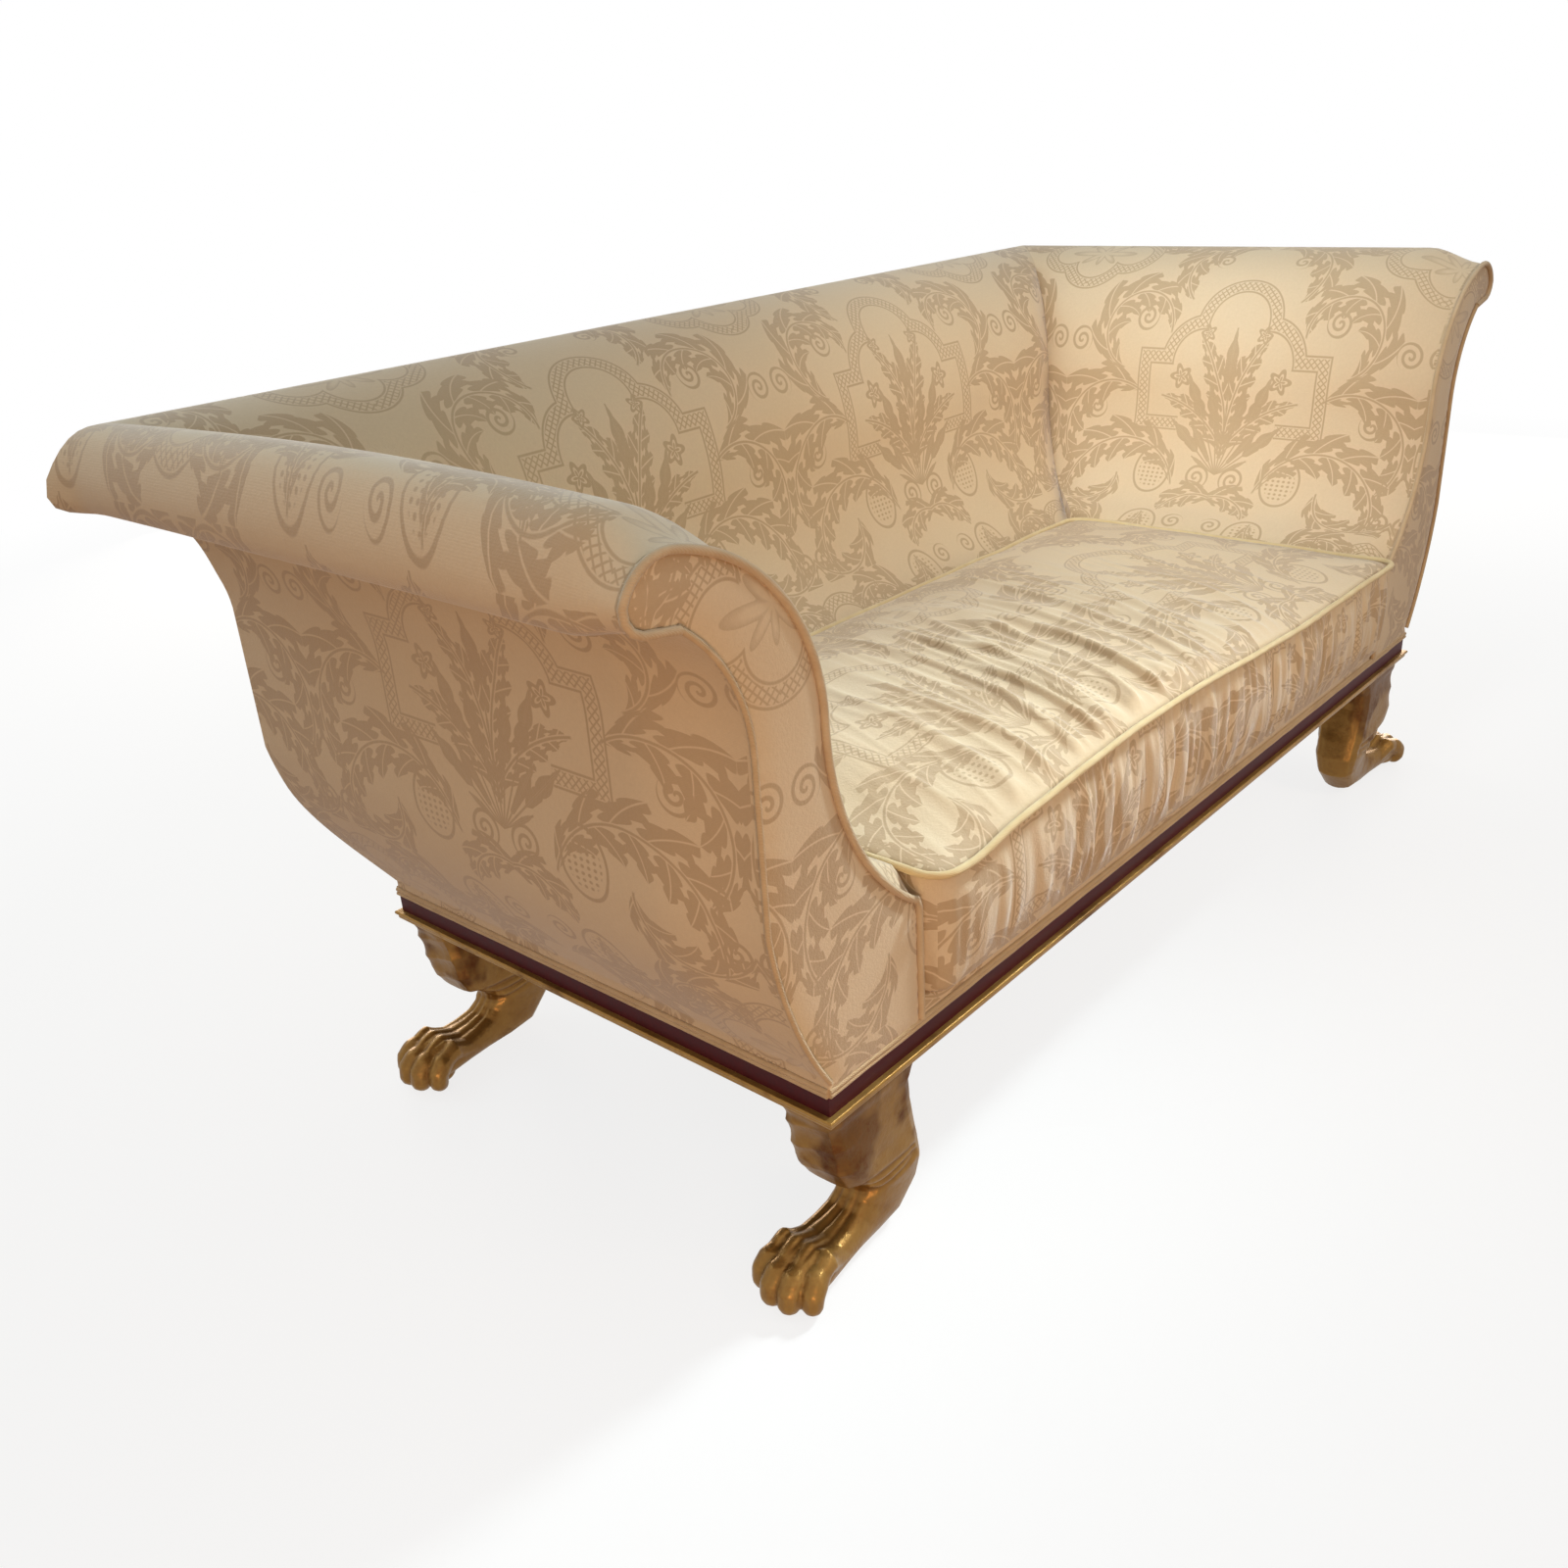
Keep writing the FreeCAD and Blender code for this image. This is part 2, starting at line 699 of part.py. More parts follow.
def cushion_ring(level, inset, corner, draw):
    right = cushion_half_length - inset
    back = cushion_back - inset
    front = inset - cushion_front
    slant = corner * (1 - math.sqrt(0.5))
    sides = [
        [(corner - right, front), (0, front + draw), (right - corner, front)],
        [(right - corner, front), (right - slant, front + slant), (right, front + corner)],
        [(right, front + corner), (right - draw, (front + back) / 2), (right, back - corner)],
        [(right, back - corner), (right - slant, back - slant), (right - corner, back)],
        [(right - corner, back), (0, back - draw), (corner - right, back)],
        [(corner - right, back), (slant - right, back - slant), (-right, back - corner)],
        [(-right, back - corner), (draw - right, (front + back) / 2), (-right, front + corner)],
        [(-right, front + corner), (slant - right, front + slant), (corner - right, front)],
    ]
    edges = [Part.Arc(*[Vector(across, along, level) for across, along in side]).toShape() for side in sides]
    return Part.Wire(edges)


cushion_base = size("cushion_base")
seam_level = size("seam_level")
belly = size("cushion_belly")
corner = size("cushion_corner")
draw = size("cushion_draw")
crown = size("cushion_crown")
depth = cushion_back + cushion_front
rings = [
    cushion_ring(cushion_base, belly, corner, draw),
    cushion_ring((cushion_base + seam_level) / 2, 0, corner, draw),
    cushion_ring(seam_level, belly, corner, draw),
]
crown_steps = (0.07, 0.2, 0.4)
for share in crown_steps:
    rise = crown * math.sin(math.pi / 2 * share / crown_steps[-1])
    rings.append(cushion_ring(seam_level + rise, belly + share * depth, corner, draw / 2))
feature("seat_cushion", solid_between(rings))
welt_out = size("piping_radius") + size("piping_gap")
loop = cushion_ring(seam_level, belly - welt_out, corner + welt_out, draw)
feature("cushion_piping", tube(loop, size("piping_radius"), Vector(0, 0, 1)))

# Carved lion legs: thigh, hock and instep are one loft, with four toes over a flat sole.
# Each station runs from an inner to an outer point, given along the thigh and up the leg as shares of
# its length and height, and ends with the half width there as a share of the leg's width.
leg_stations = [
    (-1.00, 1.00, 0.00, 1.00, 0.50),
    (-0.84, 0.84, 0.02, 0.85, 0.50),
    (-0.87, 0.64, -0.02, 0.66, 0.51),
    (-0.92, 0.42, -0.16, 0.48, 0.48),
    (-0.93, 0.24, -0.42, 0.36, 0.41),
    (-0.76, 0.11, -0.42, 0.29, 0.38),
    (-0.36, 0.11, -0.24, 0.26, 0.40),
    (0.00, 0.07, 0.02, 0.25, 0.44),
    (0.16, 0.05, 0.20, 0.22, 0.46),
]
station_steps = 2
leg_sides = 12
squareness = 0.7

# Half outline of a toe, as shares of its length and radius: root, knuckle, dip, pad and claw
toe_outline = [(0, 0.75), (0.14, 0.97), (0.28, 1.05), (0.54, 0.84), (0.74, 0.95), (0.92, 0.58), (1, 0.2)]
toe_count = 4
toe_sides = 8


def cubic_between(before, start, finish, after, share):
    slope_in = (finish - before) / 2
    slope_out = (after - start) / 2
    rise = finish - start
    square = 3 * rise - 2 * slope_in - slope_out
    cube = slope_in + slope_out - 2 * rise
    return start + share * (slope_in + share * (square + share * cube))


def smooth_stations(stations):
    rows = [stations[0]] + stations + [stations[-1]]
    smooth = []
    for index in range(len(stations) - 1):
        columns = list(zip(*rows[index:index + 4]))
        for step in range(station_steps):
            smooth.append([cubic_between(*column, step / station_steps) for column in columns])
    return smooth + [stations[-1]]


def flat_face(corners):
    return Part.Face(Part.makePolygon(corners + corners[:1]))


def facet_loft(rings):
    faces = [flat_face(rings[0]), flat_face(rings[-1])]
    for lower, upper in zip(rings, rings[1:]):
        for index in range(len(lower)):
            faces.append(flat_face([lower[index - 1], lower[index], upper[index]]))
            faces.append(flat_face([lower[index - 1], upper[index], upper[index - 1]]))
    solid = Part.Solid(Part.Shell(faces))
    if solid.Volume < 0:
        solid.reverse()
    return solid


def squared(amount):
    return math.copysign(abs(amount) ** squareness, amount)


def leg_ring(inner_along, inner_level, outer_along, outer_level, half_width):
    length = size("thigh_length")
    height = size("leg_height")
    start = Vector(inner_along * length, 0, inner_level * height)
    finish = Vector(outer_along * length, 0, outer_level * height)
    centre = (start + finish) * 0.5
    full = squared(math.cos(math.pi / leg_sides))
    along = (finish - start) * (0.5 / full)
    across = Vector(0, half_width * size("leg_width") / full, 0)
    corners = []
    for step in range(leg_sides):
        turn = 2 * math.pi * (step + 0.5) / leg_sides
        corners.append(centre + along * squared(math.cos(turn)) + across * squared(math.sin(turn)))
    return corners


def toe_blank():
    rings = []
    for along, out in toe_outline:
        corners = []
        for step in range(toe_sides):
            turn = 2 * math.pi * (step + 0.5) / toe_sides
            spoke = Vector(0, math.sin(turn), math.cos(turn)) * (out * size("toe_radius"))
            corners.append(Vector(along * size("toe_length"), 0, 0) + spoke)
        rings.append(corners)
    return facet_loft(rings)


def sole():
    width = (toe_count - 1) * size("toe_pitch") + size("toe_radius")
    corner = Vector(size("toe_back"), -width / 2, 0)
    block = Part.makeBox(size("sole_length"), width, size("sole_height"), corner)
    uprights = [edge for edge in block.Edges if edge.BoundBox.ZLength > size("sole_height") / 2]
    return block.makeFillet(size("sole_round"), uprights)


def leg_blank():
    blank = facet_loft([leg_ring(*station) for station in smooth_stations(leg_stations)])
    toes = [sole()]
    tilt = math.degrees(math.asin(size("toe_drop") / size("toe_length")))
    knuckle = size("toe_radius") + size("toe_drop")
    for number in range(toe_count):
        toe = toe_blank()
        toe.rotate(Vector(0, 0, 0), Vector(0, 1, 0), tilt)
        aside = (number - (toe_count - 1) / 2) * size("toe_pitch")
        toe.translate(Vector(size("toe_back"), aside, knuckle))
        toes.append(toe)
    return blank.fuse(toes).removeSplitter()


carved_leg = leg_blank()
dowels = []
for depth_name, side in (("front", -1), ("back", 1)):
    for name, end in (("left", -1), ("right", 1)):
        leg = carved_leg
        across = end * side * (size("leg_width") / 2 - size("dowel_out"))
        for offset in (-1, 1):
            along = -size("thigh_length") / 2 + offset * size("dowel_spacing") / 2
            bore = Part.makeCylinder(size("dowel_radius"), size("dowel_depth"),
                                     Vector(along, across, size("leg_height") - size("dowel_depth")))
            leg = leg.cut(bore)
        item = feature("leg_%s_%s" % (depth_name, name), single_solid(leg))
        turn = FreeCAD.Rotation(Vector(0, 0, 1), 0 if end > 0 else 180)
        place = Vector(end * half_length, seat_middle + side * (half_depth - size("leg_width") / 2), 0)
        item.Placement = FreeCAD.Placement(place, turn)
        for number in (0, 1) if end < 0 else (2, 3):
            dowels.append(cylinder("dowel_%s_%s_%d" % (depth_name, name, number),
                                   (dowel_places[number],
                                    "seat_middle + (%d) * (half_depth - dowel_out)" % side,
                                    "leg_height - dowel_depth"),
                                   "dowel_radius", "2 * dowel_depth"))
keep(group("leg_dowels", dowels), "leg_dowels")

doc.recompute()

# Each sub-part has to be sound before any file is written
for item in doc.Objects:
    if "Invalid" in item.State or "Error" in item.State:
        raise RuntimeError("failed object: " + item.Label)
for item in sub_parts:
    if item.Shape.isNull() or not item.Shape.isValid() or not item.Shape.Solids:
        raise RuntimeError("unsound shape: " + item.Label)

os.makedirs("parts", exist_ok=True)
for item in sub_parts:
    item.Shape.exportStep("parts/%s.step" % item.Label)
whole = Part.makeCompound([item.Shape for item in sub_parts]).BoundBox
print("%d sub-parts, %.0f x %.0f x %.0f mm" % (len(sub_parts), whole.XLength, whole.YLength, whole.ZLength))
print("middle %.2f, %.2f, floor %.2f" % (whole.Center.x, whole.Center.y, whole.ZMin))
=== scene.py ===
import bpy
import bmesh
import json
import math
from mathutils import Matrix, Vector, noise


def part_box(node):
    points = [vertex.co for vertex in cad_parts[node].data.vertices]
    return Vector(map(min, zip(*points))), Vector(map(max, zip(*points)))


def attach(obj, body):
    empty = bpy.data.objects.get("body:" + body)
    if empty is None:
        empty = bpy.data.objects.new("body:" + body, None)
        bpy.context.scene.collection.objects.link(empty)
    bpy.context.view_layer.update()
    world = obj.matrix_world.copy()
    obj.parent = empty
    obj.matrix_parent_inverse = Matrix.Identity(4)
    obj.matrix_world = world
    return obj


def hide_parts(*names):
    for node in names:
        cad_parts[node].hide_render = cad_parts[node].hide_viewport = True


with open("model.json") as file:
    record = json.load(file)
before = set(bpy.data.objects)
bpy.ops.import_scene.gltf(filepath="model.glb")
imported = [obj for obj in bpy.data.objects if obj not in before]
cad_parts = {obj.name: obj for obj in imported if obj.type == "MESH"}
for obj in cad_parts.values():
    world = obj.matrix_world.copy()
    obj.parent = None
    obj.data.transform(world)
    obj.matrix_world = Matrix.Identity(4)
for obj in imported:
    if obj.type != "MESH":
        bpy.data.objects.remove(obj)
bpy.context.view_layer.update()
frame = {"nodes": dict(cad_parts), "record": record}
nodes = frame["nodes"]
scene = bpy.context.scene
scene.view_settings.view_transform = "Standard"

# the rails of the frame place everything else
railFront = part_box("band_front")[0].y
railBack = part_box("band_back")[1].y
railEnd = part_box("band_right")[1].x
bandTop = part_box("band_front")[1].z
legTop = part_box("leg_front_left")[1].z
railDepth = railBack - railFront
railMiddle = (railFront + railBack) / 2
print("frame loaded,", len(nodes), "nodes")


class Wire:  # one value in a material's nodes
    def __init__(self, paint, socket):
        self.paint = paint
        self.socket = socket

    def __add__(self, other):
        return self.paint.math("ADD", self, other)

    def __sub__(self, other):
        return self.paint.math("SUBTRACT", self, other)

    def __rsub__(self, other):
        return self.paint.math("SUBTRACT", other, self)

    def __mul__(self, other):
        return self.paint.math("MULTIPLY", self, other)

    def __truediv__(self, other):
        return self.paint.math("DIVIDE", self, other)

    def __pow__(self, other):
        return self.paint.math("POWER", self, other)

    def __abs__(self):
        return self.paint.math("ABSOLUTE", self)

    __radd__ = __add__
    __rmul__ = __mul__


class Paint:  # the nodes of one material or of the world
    def __init__(self, owner):
        self.owner = owner
        self.owner.use_nodes = True
        self.tree = owner.node_tree

    def node(self, kind, settings=None, sockets=None):
        made = self.tree.nodes.new(kind)
        for key, value in (settings or {}).items():
            setattr(made, key, value)
        for key, value in (sockets or {}).items():
            self.feed(made.inputs[key], value)
        return made

    def feed(self, socket, value):
        if isinstance(value, Wire):
            self.tree.links.new(value.socket, socket)
        elif isinstance(value, bpy.types.NodeSocket):
            self.tree.links.new(value, socket)
        else:
            socket.default_value = value

    def math(self, operation, *values, clamp=False):
        settings = {"operation": operation, "use_clamp": clamp}
        made = self.node("ShaderNodeMath", settings, dict(enumerate(values)))
        return Wire(self, made.outputs[0])

    def larger(self, one, other):
        return self.math("MAXIMUM", one, other)

    def smaller(self, one, other):
        return self.math("MINIMUM", one, other)

    def within(self, room, edge=0.0012):  # 1 where room is positive, with a soft edge in metres
        return self.math("MULTIPLY_ADD", room, 1 / edge, 0.5, clamp=True)

    def length(self, across, up):
        return self.math("SQRT", self.math("MULTIPLY_ADD", across, across, up * up))

    def noise(self, place, scale, detail=3, roughness=0.55):
        made = self.node("ShaderNodeTexNoise", None, {
            "Vector": place, "Scale": scale, "Detail": detail, "Roughness": roughness})
        return Wire(self, made.outputs["Fac"])

    def mix(self, share, low, high):
        made = self.node("ShaderNodeMix", {"data_type": "RGBA"}, {0: share, 6: low, 7: high})
        return made.outputs[2]

    def bump(self, height, distance, strength):
        made = self.node("ShaderNodeBump", None, {
            "Height": height, "Distance": distance, "Strength": strength})
        return made.outputs["Normal"]

    def directSight(self):  # 1 for the rays that show a surface to the eye
        rays = self.node("ShaderNodeLightPath").outputs
        mirrored = self.larger(rays["Is Glossy Ray"], rays["Is Transmission Ray"])
        return self.larger(rays["Is Camera Ray"], mirrored)

    def mixShader(self, share, low, high):
        return self.node("ShaderNodeMixShader", None, {0: share, 1: low.outputs[0], 2: high.outputs[0]})

    def finish(self, sockets):
        for key, value in sockets.items():
            self.feed(self.tree.nodes["Principled BSDF"].inputs[key], value)
        return self.owner


def colour(red, green, blue):  # screen colour, 0 to 255, as linear light
    made = []
    for amount in (red, green, blue):
        share = amount / 255
        made.append(share / 12.92 if share < 0.04045 else ((share + 0.055) / 1.055) ** 2.4)
    return (*made, 1)


# damask: the figure is drawn in metres on each cover's own cloth map
damaskLook = {
    "repeatWide": 0.654, "repeatTall": 0.60, "lowest": -0.18,
    "ground": colour(225, 204, 168), "figure": colour(182, 153, 116),
    "worn": colour(213, 185, 145), "fade": colour(233, 215, 184),
    "band": 0.0125, "line": 0.0030, "lattice": 0.0105,
    "slant": 1.05, "lobes": 9.6, "vein": 0.0009, "stem": 0.0016, "clear": 0.0030,
    "sprays": [  # stems on arcs: centre, radius, middle and sweep in degrees, turn, leaf length, pitch
        ((0.188, 0.152), 0.064, 55, 128, 1, 0.045, 0.050),
        ((0.222, -0.025), 0.094, 38, 86, -1, 0.047, 0.054),
        ((0.182, -0.140), 0.108, 72, 92, -1, 0.044, 0.050),
        ((0.044, 0.262), 0.080, 35, 82, -1, 0.043, 0.050),
        ((0.250, -0.020), 0.250, 163, 25, -1, 0.030, 0.036),
        ((0.160, -0.135), 0.186, 128, 28, -1, 0.026, 0.034),
        ((0.165, 0.398), 0.062, 265, 95, 1, 0.036, 0.042),
        ((0.235, 0.338), 0.054, 105, 105, -1, 0.036, 0.044),
        ((0.262, -0.105), 0.072, 255, 80, 1, 0.038, 0.046),
        ((0.020, -0.185), 0.060, 62, 58, -1, 0.034, 0.040),
    ],
    "coil": 0.0115, "thread": 0.0024,
    "tendrils": [  # centre, radius, turn
        ((0.176, 0.172), 0.022, 1), ((0.302, 0.132), 0.022, -1), ((0.258, 0.020), 0.022, 1),
        ((0.304, -0.138), 0.022, 1), ((0.036, 0.392), 0.020, -1), ((0.034, -0.092), 0.024, -1),
        ((0.070, 0.288), 0.018, 1),
    ],
    "archUp": 0.165, "archRound": 0.066, "shoulder": (0.060, 0.105), "shoulderRound": 0.062,
    "baseOut": 0.165, "baseUp": 0.056, "openOut": 0.092, "openUp": 0.02,
    "ringUp": 0.31, "lobeIn": 0.062, "lobeRound": 0.047, "crownUp": 0.028, "crownRound": 0.052,
    "bouquetFoot": 0.085, "bladeTurn": 0.21, "bladeLong": 0.245, "bladeLeaf": 0.085, "bladeWide": 0.0115,
    "flowers": [((0.092, 0.082), 0.020), ((0.052, 0.150), 0.014)],
    "seeds": [(0.122, -0.088), (0.100, 0.372)], "seedWide": 0.036, "seedTall": 0.046,
}


def sprayOfLeaves(paint, across, up, centre, radius, middle, sweep, turn, leaf, pitch):
    look = damaskLook
    angle = math.radians(middle)
    right = across - centre[0]
    over = up - centre[1]
    ahead = right * math.cos(angle) + over * math.sin(angle)
    aside = over * math.cos(angle) - right * math.sin(angle)
    out = paint.length(ahead, aside) - radius
    along = paint.math("ARCTAN2", aside, ahead) * (turn * radius)
    side = abs(out)
    beat = (along - side * look["slant"]) / pitch + paint.math("GREATER_THAN", out, 0) * 0.5
    phase = paint.math("FRACT", beat)
    end = radius * math.radians(sweep)
    taper = 1 - (along / end) * (along / end)
    share = side / (taper * leaf + 0.0001)
    lobes = 0.66 + abs(paint.math("SINE", share * look["lobes"])) * 0.48
    outline = paint.math("SINE", share ** 0.8 * math.pi) * lobes
    half = abs(phase - 0.5) * (pitch * 0.72)
    blade = paint.within(outline * (pitch * 0.36) - half) * paint.within(1 - share, 0.04)
    vein = paint.within(half - look["vein"])
    stem = paint.within(paint.smaller(look["stem"] - side, taper * 0.02))
    return paint.larger(blade * vein * paint.within(side - look["clear"]), stem)


def tendril(paint, across, up, centre, radius, turn):
    look = damaskLook
    right = across - centre[0]
    over = up - centre[1]
    reach = paint.length(right, over)
    coil = reach / look["coil"] + paint.math("ARCTAN2", over, right) * (turn / (2 * math.pi))
    thread = look["thread"] - abs(paint.math("FRACT", coil) - 0.5) * look["coil"]
    return paint.within(paint.smaller(thread, radius - reach))


def damaskFigure(paint, across, up):
    look = damaskLook
    # one mirrored repeat
    tile = paint.math("FRACT", across / look["repeatWide"] + 0.5)
    x = abs(tile - 0.5) * look["repeatWide"]
    lift = paint.math("FRACT", (up - look["lowest"]) / look["repeatTall"])
    y = lift * look["repeatTall"] + look["lowest"]
    # strapwork: a stepped arch, and a four-lobed ring half a repeat away
    arch = paint.length(x, y - look["archUp"]) - look["archRound"]
    shoulder = paint.length(x - look["shoulder"][0], y - look["shoulder"][1]) - look["shoulderRound"]
    base = paint.larger(x - look["baseOut"], abs(y - look["baseUp"]) - look["baseUp"])
    strap = paint.smaller(paint.smaller(arch, shoulder), base)
    half = look["repeatWide"] / 2
    ring = y - look["ringUp"]
    lobe = paint.length(x - (half - look["lobeIn"]), ring) - look["lobeRound"]
    crown = paint.length(x - half, abs(ring) - look["crownUp"]) - look["crownRound"]
    strap = paint.smaller(strap, paint.smaller(lobe, crown))
    depth = look["band"] - abs(strap)
    opening = paint.larger(x - look["openOut"], y - look["openUp"])
    outline = paint.within(paint.smaller(depth, look["line"] - depth))
    lattice = paint.larger(abs(paint.math("FRACT", (x + y) / look["lattice"]) - 0.5),
                           abs(paint.math("FRACT", (x - y) / look["lattice"]) - 0.5))
    ticks = paint.within(lattice - 0.36, 0.12) * paint.within(depth - look["line"] * 1.5)
    figure = paint.larger(outline, ticks) * paint.within(opening)
    # bouquet of blades fanned from the foot of the arch
    foot = y + look["bouquetFoot"]
    reach = paint.length(x, foot)
    fan = paint.math("ARCTAN2", x, foot)
    blade = paint.math("ROUND", fan / look["bladeTurn"])
    swing = abs(fan - blade * look["bladeTurn"]) * reach
    long = look["bladeLong"] - blade * 0.026 - paint.math("PINGPONG", blade, 1) * 0.055
    share = paint.math("MULTIPLY_ADD", reach - long, 1 / look["bladeLeaf"], 1, clamp=True)
    width = paint.math("SINE", share ** 0.7 * math.pi) * (0.66 + abs(paint.math("SINE", share * 8)) * 0.45)
    leaves = paint.within(paint.smaller(width * look["bladeWide"] - swing, long - reach))
    stems = paint.within(paint.smaller(0.0013 - swing, long - reach))
    leaves = leaves * paint.within(swing - look["vein"])
    bouquet = paint.larger(leaves, stems) * paint.within(1.15 - fan, 0.02)
    figure = paint.larger(figure, bouquet)
    for centre, radius in look["flowers"]:
        right = x - centre[0]
        over = y - centre[1]
        petals = paint.math("COSINE", paint.math("ARCTAN2", over, right) * 5) * 0.22 + 0.85
        away = paint.length(right, over) / radius - petals
        flower = paint.within(abs(abs(away + 0.18) - 0.30) - 0.10, 0.06) * paint.within(0 - away, 0.08)
        figure = paint.larger(figure, flower)
    # dotted seed scrolls
    dots = paint.length(paint.math("FRACT", x / 0.0095) - 0.5, paint.math("FRACT", y / 0.008) - 0.5)
    for seedOut, seedUp in look["seeds"]:
        seed = paint.length((x - seedOut) / look["seedWide"], (y - seedUp) / look["seedTall"])
        rim = paint.within(0.055 - abs(seed - 0.94), 0.03)
        inner = paint.within(0.27 - dots, 0.14) * paint.within(0.72 - seed, 0.05)
        figure = paint.larger(figure, paint.larger(rim, inner))
    # rosette inside the ring
    right = x - half
    petals = paint.math("COSINE", paint.math("ARCTAN2", ring, right) * 8) * 0.011 + 0.026
    away = petals - paint.length(right * 0.55, ring)
    figure = paint.larger(figure, paint.within(away) * paint.within(0.006 - away, 0.02))
    for spray in look["sprays"]:
        figure = paint.larger(figure, sprayOfLeaves(paint, x, y, *spray))
    for curl in look["tendrils"]:
        figure = paint.larger(figure, tendril(paint, x, y, *curl))
    return figure


def makeDamask(name):
    paint = Paint(bpy.data.materials.new(name))
    look = damaskLook
    cloth = paint.node("ShaderNodeUVMap", {"uv_map": "cloth"}).outputs["UV"]
    parts = paint.node("ShaderNodeSeparateXYZ", None, {"Vector": cloth})
    across = Wire(paint, parts.outputs["X"])
    up = Wire(paint, parts.outputs["Y"])
    place = paint.node("ShaderNodeTexCoord").outputs["Object"]
    figure = damaskFigure(paint, across, up)
    wear = paint.noise(place, 2.6, 4, 0.6)
    slub = paint.noise(place, 260, 2, 0.6)
    ground = paint.mix(wear, look["worn"], look["fade"])
    ground = paint.mix(0.5, ground, look["ground"])
    face = paint.mix(figure * (0.54 + wear * 0.36), ground, look["figure"])
    face = paint.mix(slub * 0.14, face, colour(132, 104, 70))
    rib = paint.math("SINE", up * (2 * math.pi / 0.0016))
    nap = paint.noise(place, 620, 2, 0.7)
    height = rib * 0.06 + nap * 0.7 + slub * 0.9
    return paint.finish({
        "Base Color": face,
        "Roughness": 0.82 - figure * 0.16,
        "Sheen Weight": 0.55,
        "Sheen Roughness": 0.38,
        "Sheen Tint": colour(238, 240, 244),
        "Specular IOR Level": 0.28,
        "Normal": paint.bump(height, 0.0008, 0.7),
    })


def makePipingCloth(name, tint, shade):
    paint = Paint(bpy.data.materials.new(name))
    place = paint.node("ShaderNodeTexCoord").outputs["Object"]
    parts = paint.node("ShaderNodeSeparateXYZ", None, {"Vector": place})
    run = Wire(paint, parts.outputs["X"]) + parts.outputs["Y"] + parts.outputs["Z"]
    rib = paint.math("SINE", run * (2 * math.pi / 0.003))
    soil = paint.noise(place, 40, 3)
    face = paint.mix(soil, tint, shade)
    return paint.finish({
        "Base Color": face,
        "Roughness": 0.74 + soil * 0.15,
        "Sheen Weight": 0.3,
        "Sheen Roughness": 0.5,
        "Specular IOR Level": 0.3,
        "Normal": paint.bump(rib * 0.5 + soil, 0.0006, 0.4),
    })


def makeGilt(name, depth, lift, shadeUnderRailWeight):  # painted shade in hollows, and painted shade that darkens the leg towards its top under the rail
    paint = Paint(bpy.data.materials.new(name))
    place = paint.node("ShaderNodeTexCoord").outputs["Object"]
    cavity = paint.node("ShaderNodeNewGeometry").outputs["Pointiness"]
    # painted shade: the hollows of the carving take the darker bole colour
    ridge = paint.math("MULTIPLY_ADD", Wire(paint, cavity), depth, lift, clamp=True)
    # painted highlight: the crests of the carving turn pale gold
    crestHighlight = paint.math("MULTIPLY_ADD", Wire(paint, cavity), depth * 2.4, lift * 2.4 - 1.9, clamp=True)
    cloud = paint.noise(place, 22, 4, 0.65)
    speck = paint.noise(place, 140, 3, 0.7)
    worn = paint.math("MULTIPLY_ADD", cloud * 0.7 + speck * 0.3, 5.5, -2.9, clamp=True)
    level = Wire(paint, paint.node("ShaderNodeSeparateXYZ", None, {"Vector": place}).outputs["Z"])
    # painted shade: darker towards the top of the leg, under the rail
    shadeUnderRail = paint.math("MULTIPLY_ADD", level, 9, -0.75, clamp=True) * shadeUnderRailWeight
    # random dark patches of worn gilding, with the painted shade under the rail added
    wornPatchAndShade = paint.math("MULTIPLY_ADD", paint.noise(place, 11, 3, 0.6), 4.5, shadeUnderRail - 2.1, clamp=True)
    leaf = paint.mix(cloud, colour(126, 84, 32), colour(206, 166, 92))
    # the bole colour stands for worn gilding and for painted shade
    boleAndShade = paint.mix(speck, colour(40, 14, 4), colour(96, 44, 12))
    face = paint.mix(paint.larger((1 - ridge) * 0.85, wornPatchAndShade * 0.78) + worn * 0.2, leaf, boleAndShade)
    # painted highlight on the crests
    face = paint.mix(crestHighlight * 0.55, face, colour(240, 220, 168))
    return paint.finish({
        "Base Color": face,
        "Metallic": 0.5 - worn * 0.3,
        "Roughness": 0.28 + worn * 0.22 + wornPatchAndShade * 0.14 + speck * 0.12,
        "Specular IOR Level": 0.1,
        "Coat Weight": 0.04,
        "Coat Roughness": 0.18,
        "Normal": paint.bump(speck * 0.4 + cloud, 0.0018, 0.7),
    })


def makeWood(name, dark, light, grainScale, gloss):
    paint = Paint(bpy.data.materials.new(name))
    place = paint.node("ShaderNodeTexCoord").outputs["Object"]
    sockets = {"Vector": place, "Scale": (grainScale, 60, 60)}
    stretched = paint.node("ShaderNodeMapping", None, sockets).outputs["Vector"]
    grain = paint.noise(stretched, 1.6, 6, 0.6)
    pores = paint.noise(stretched, 9, 2, 0.7)
    face = paint.mix(grain, dark, light)
    return paint.finish({
        "Base Color": paint.mix(pores * 0.3, face, dark),
        "Roughness": gloss + grain * 0.2,
        "Specular IOR Level": 0.15,
        "Normal": paint.bump(pores, 0.0005, 0.3),
    })


def makeCanvas(name, warp, weft, pitch):
    paint = Paint(bpy.data.materials.new(name))
    place = paint.node("ShaderNodeTexCoord").outputs["Object"]
    parts = paint.node("ShaderNodeSeparateXYZ", None, {"Vector": place})
    wave = 2 * math.pi / pitch
    one = paint.math("SINE", (Wire(paint, parts.outputs["X"]) + parts.outputs["Z"]) * wave)
    two = paint.math("SINE", Wire(paint, parts.outputs["Y"]) * wave)
    weave = one * two * 0.5 + 0.5
    dust = paint.noise(place, 18, 3)
    return paint.finish({
        "Base Color": paint.mix(weave * 0.7 + dust * 0.3, warp, weft),
        "Roughness": 0.9 - weave * 0.08,
        "Sheen Weight": 0.1,
        "Normal": paint.bump(weave, 0.0006, 0.4),
    })


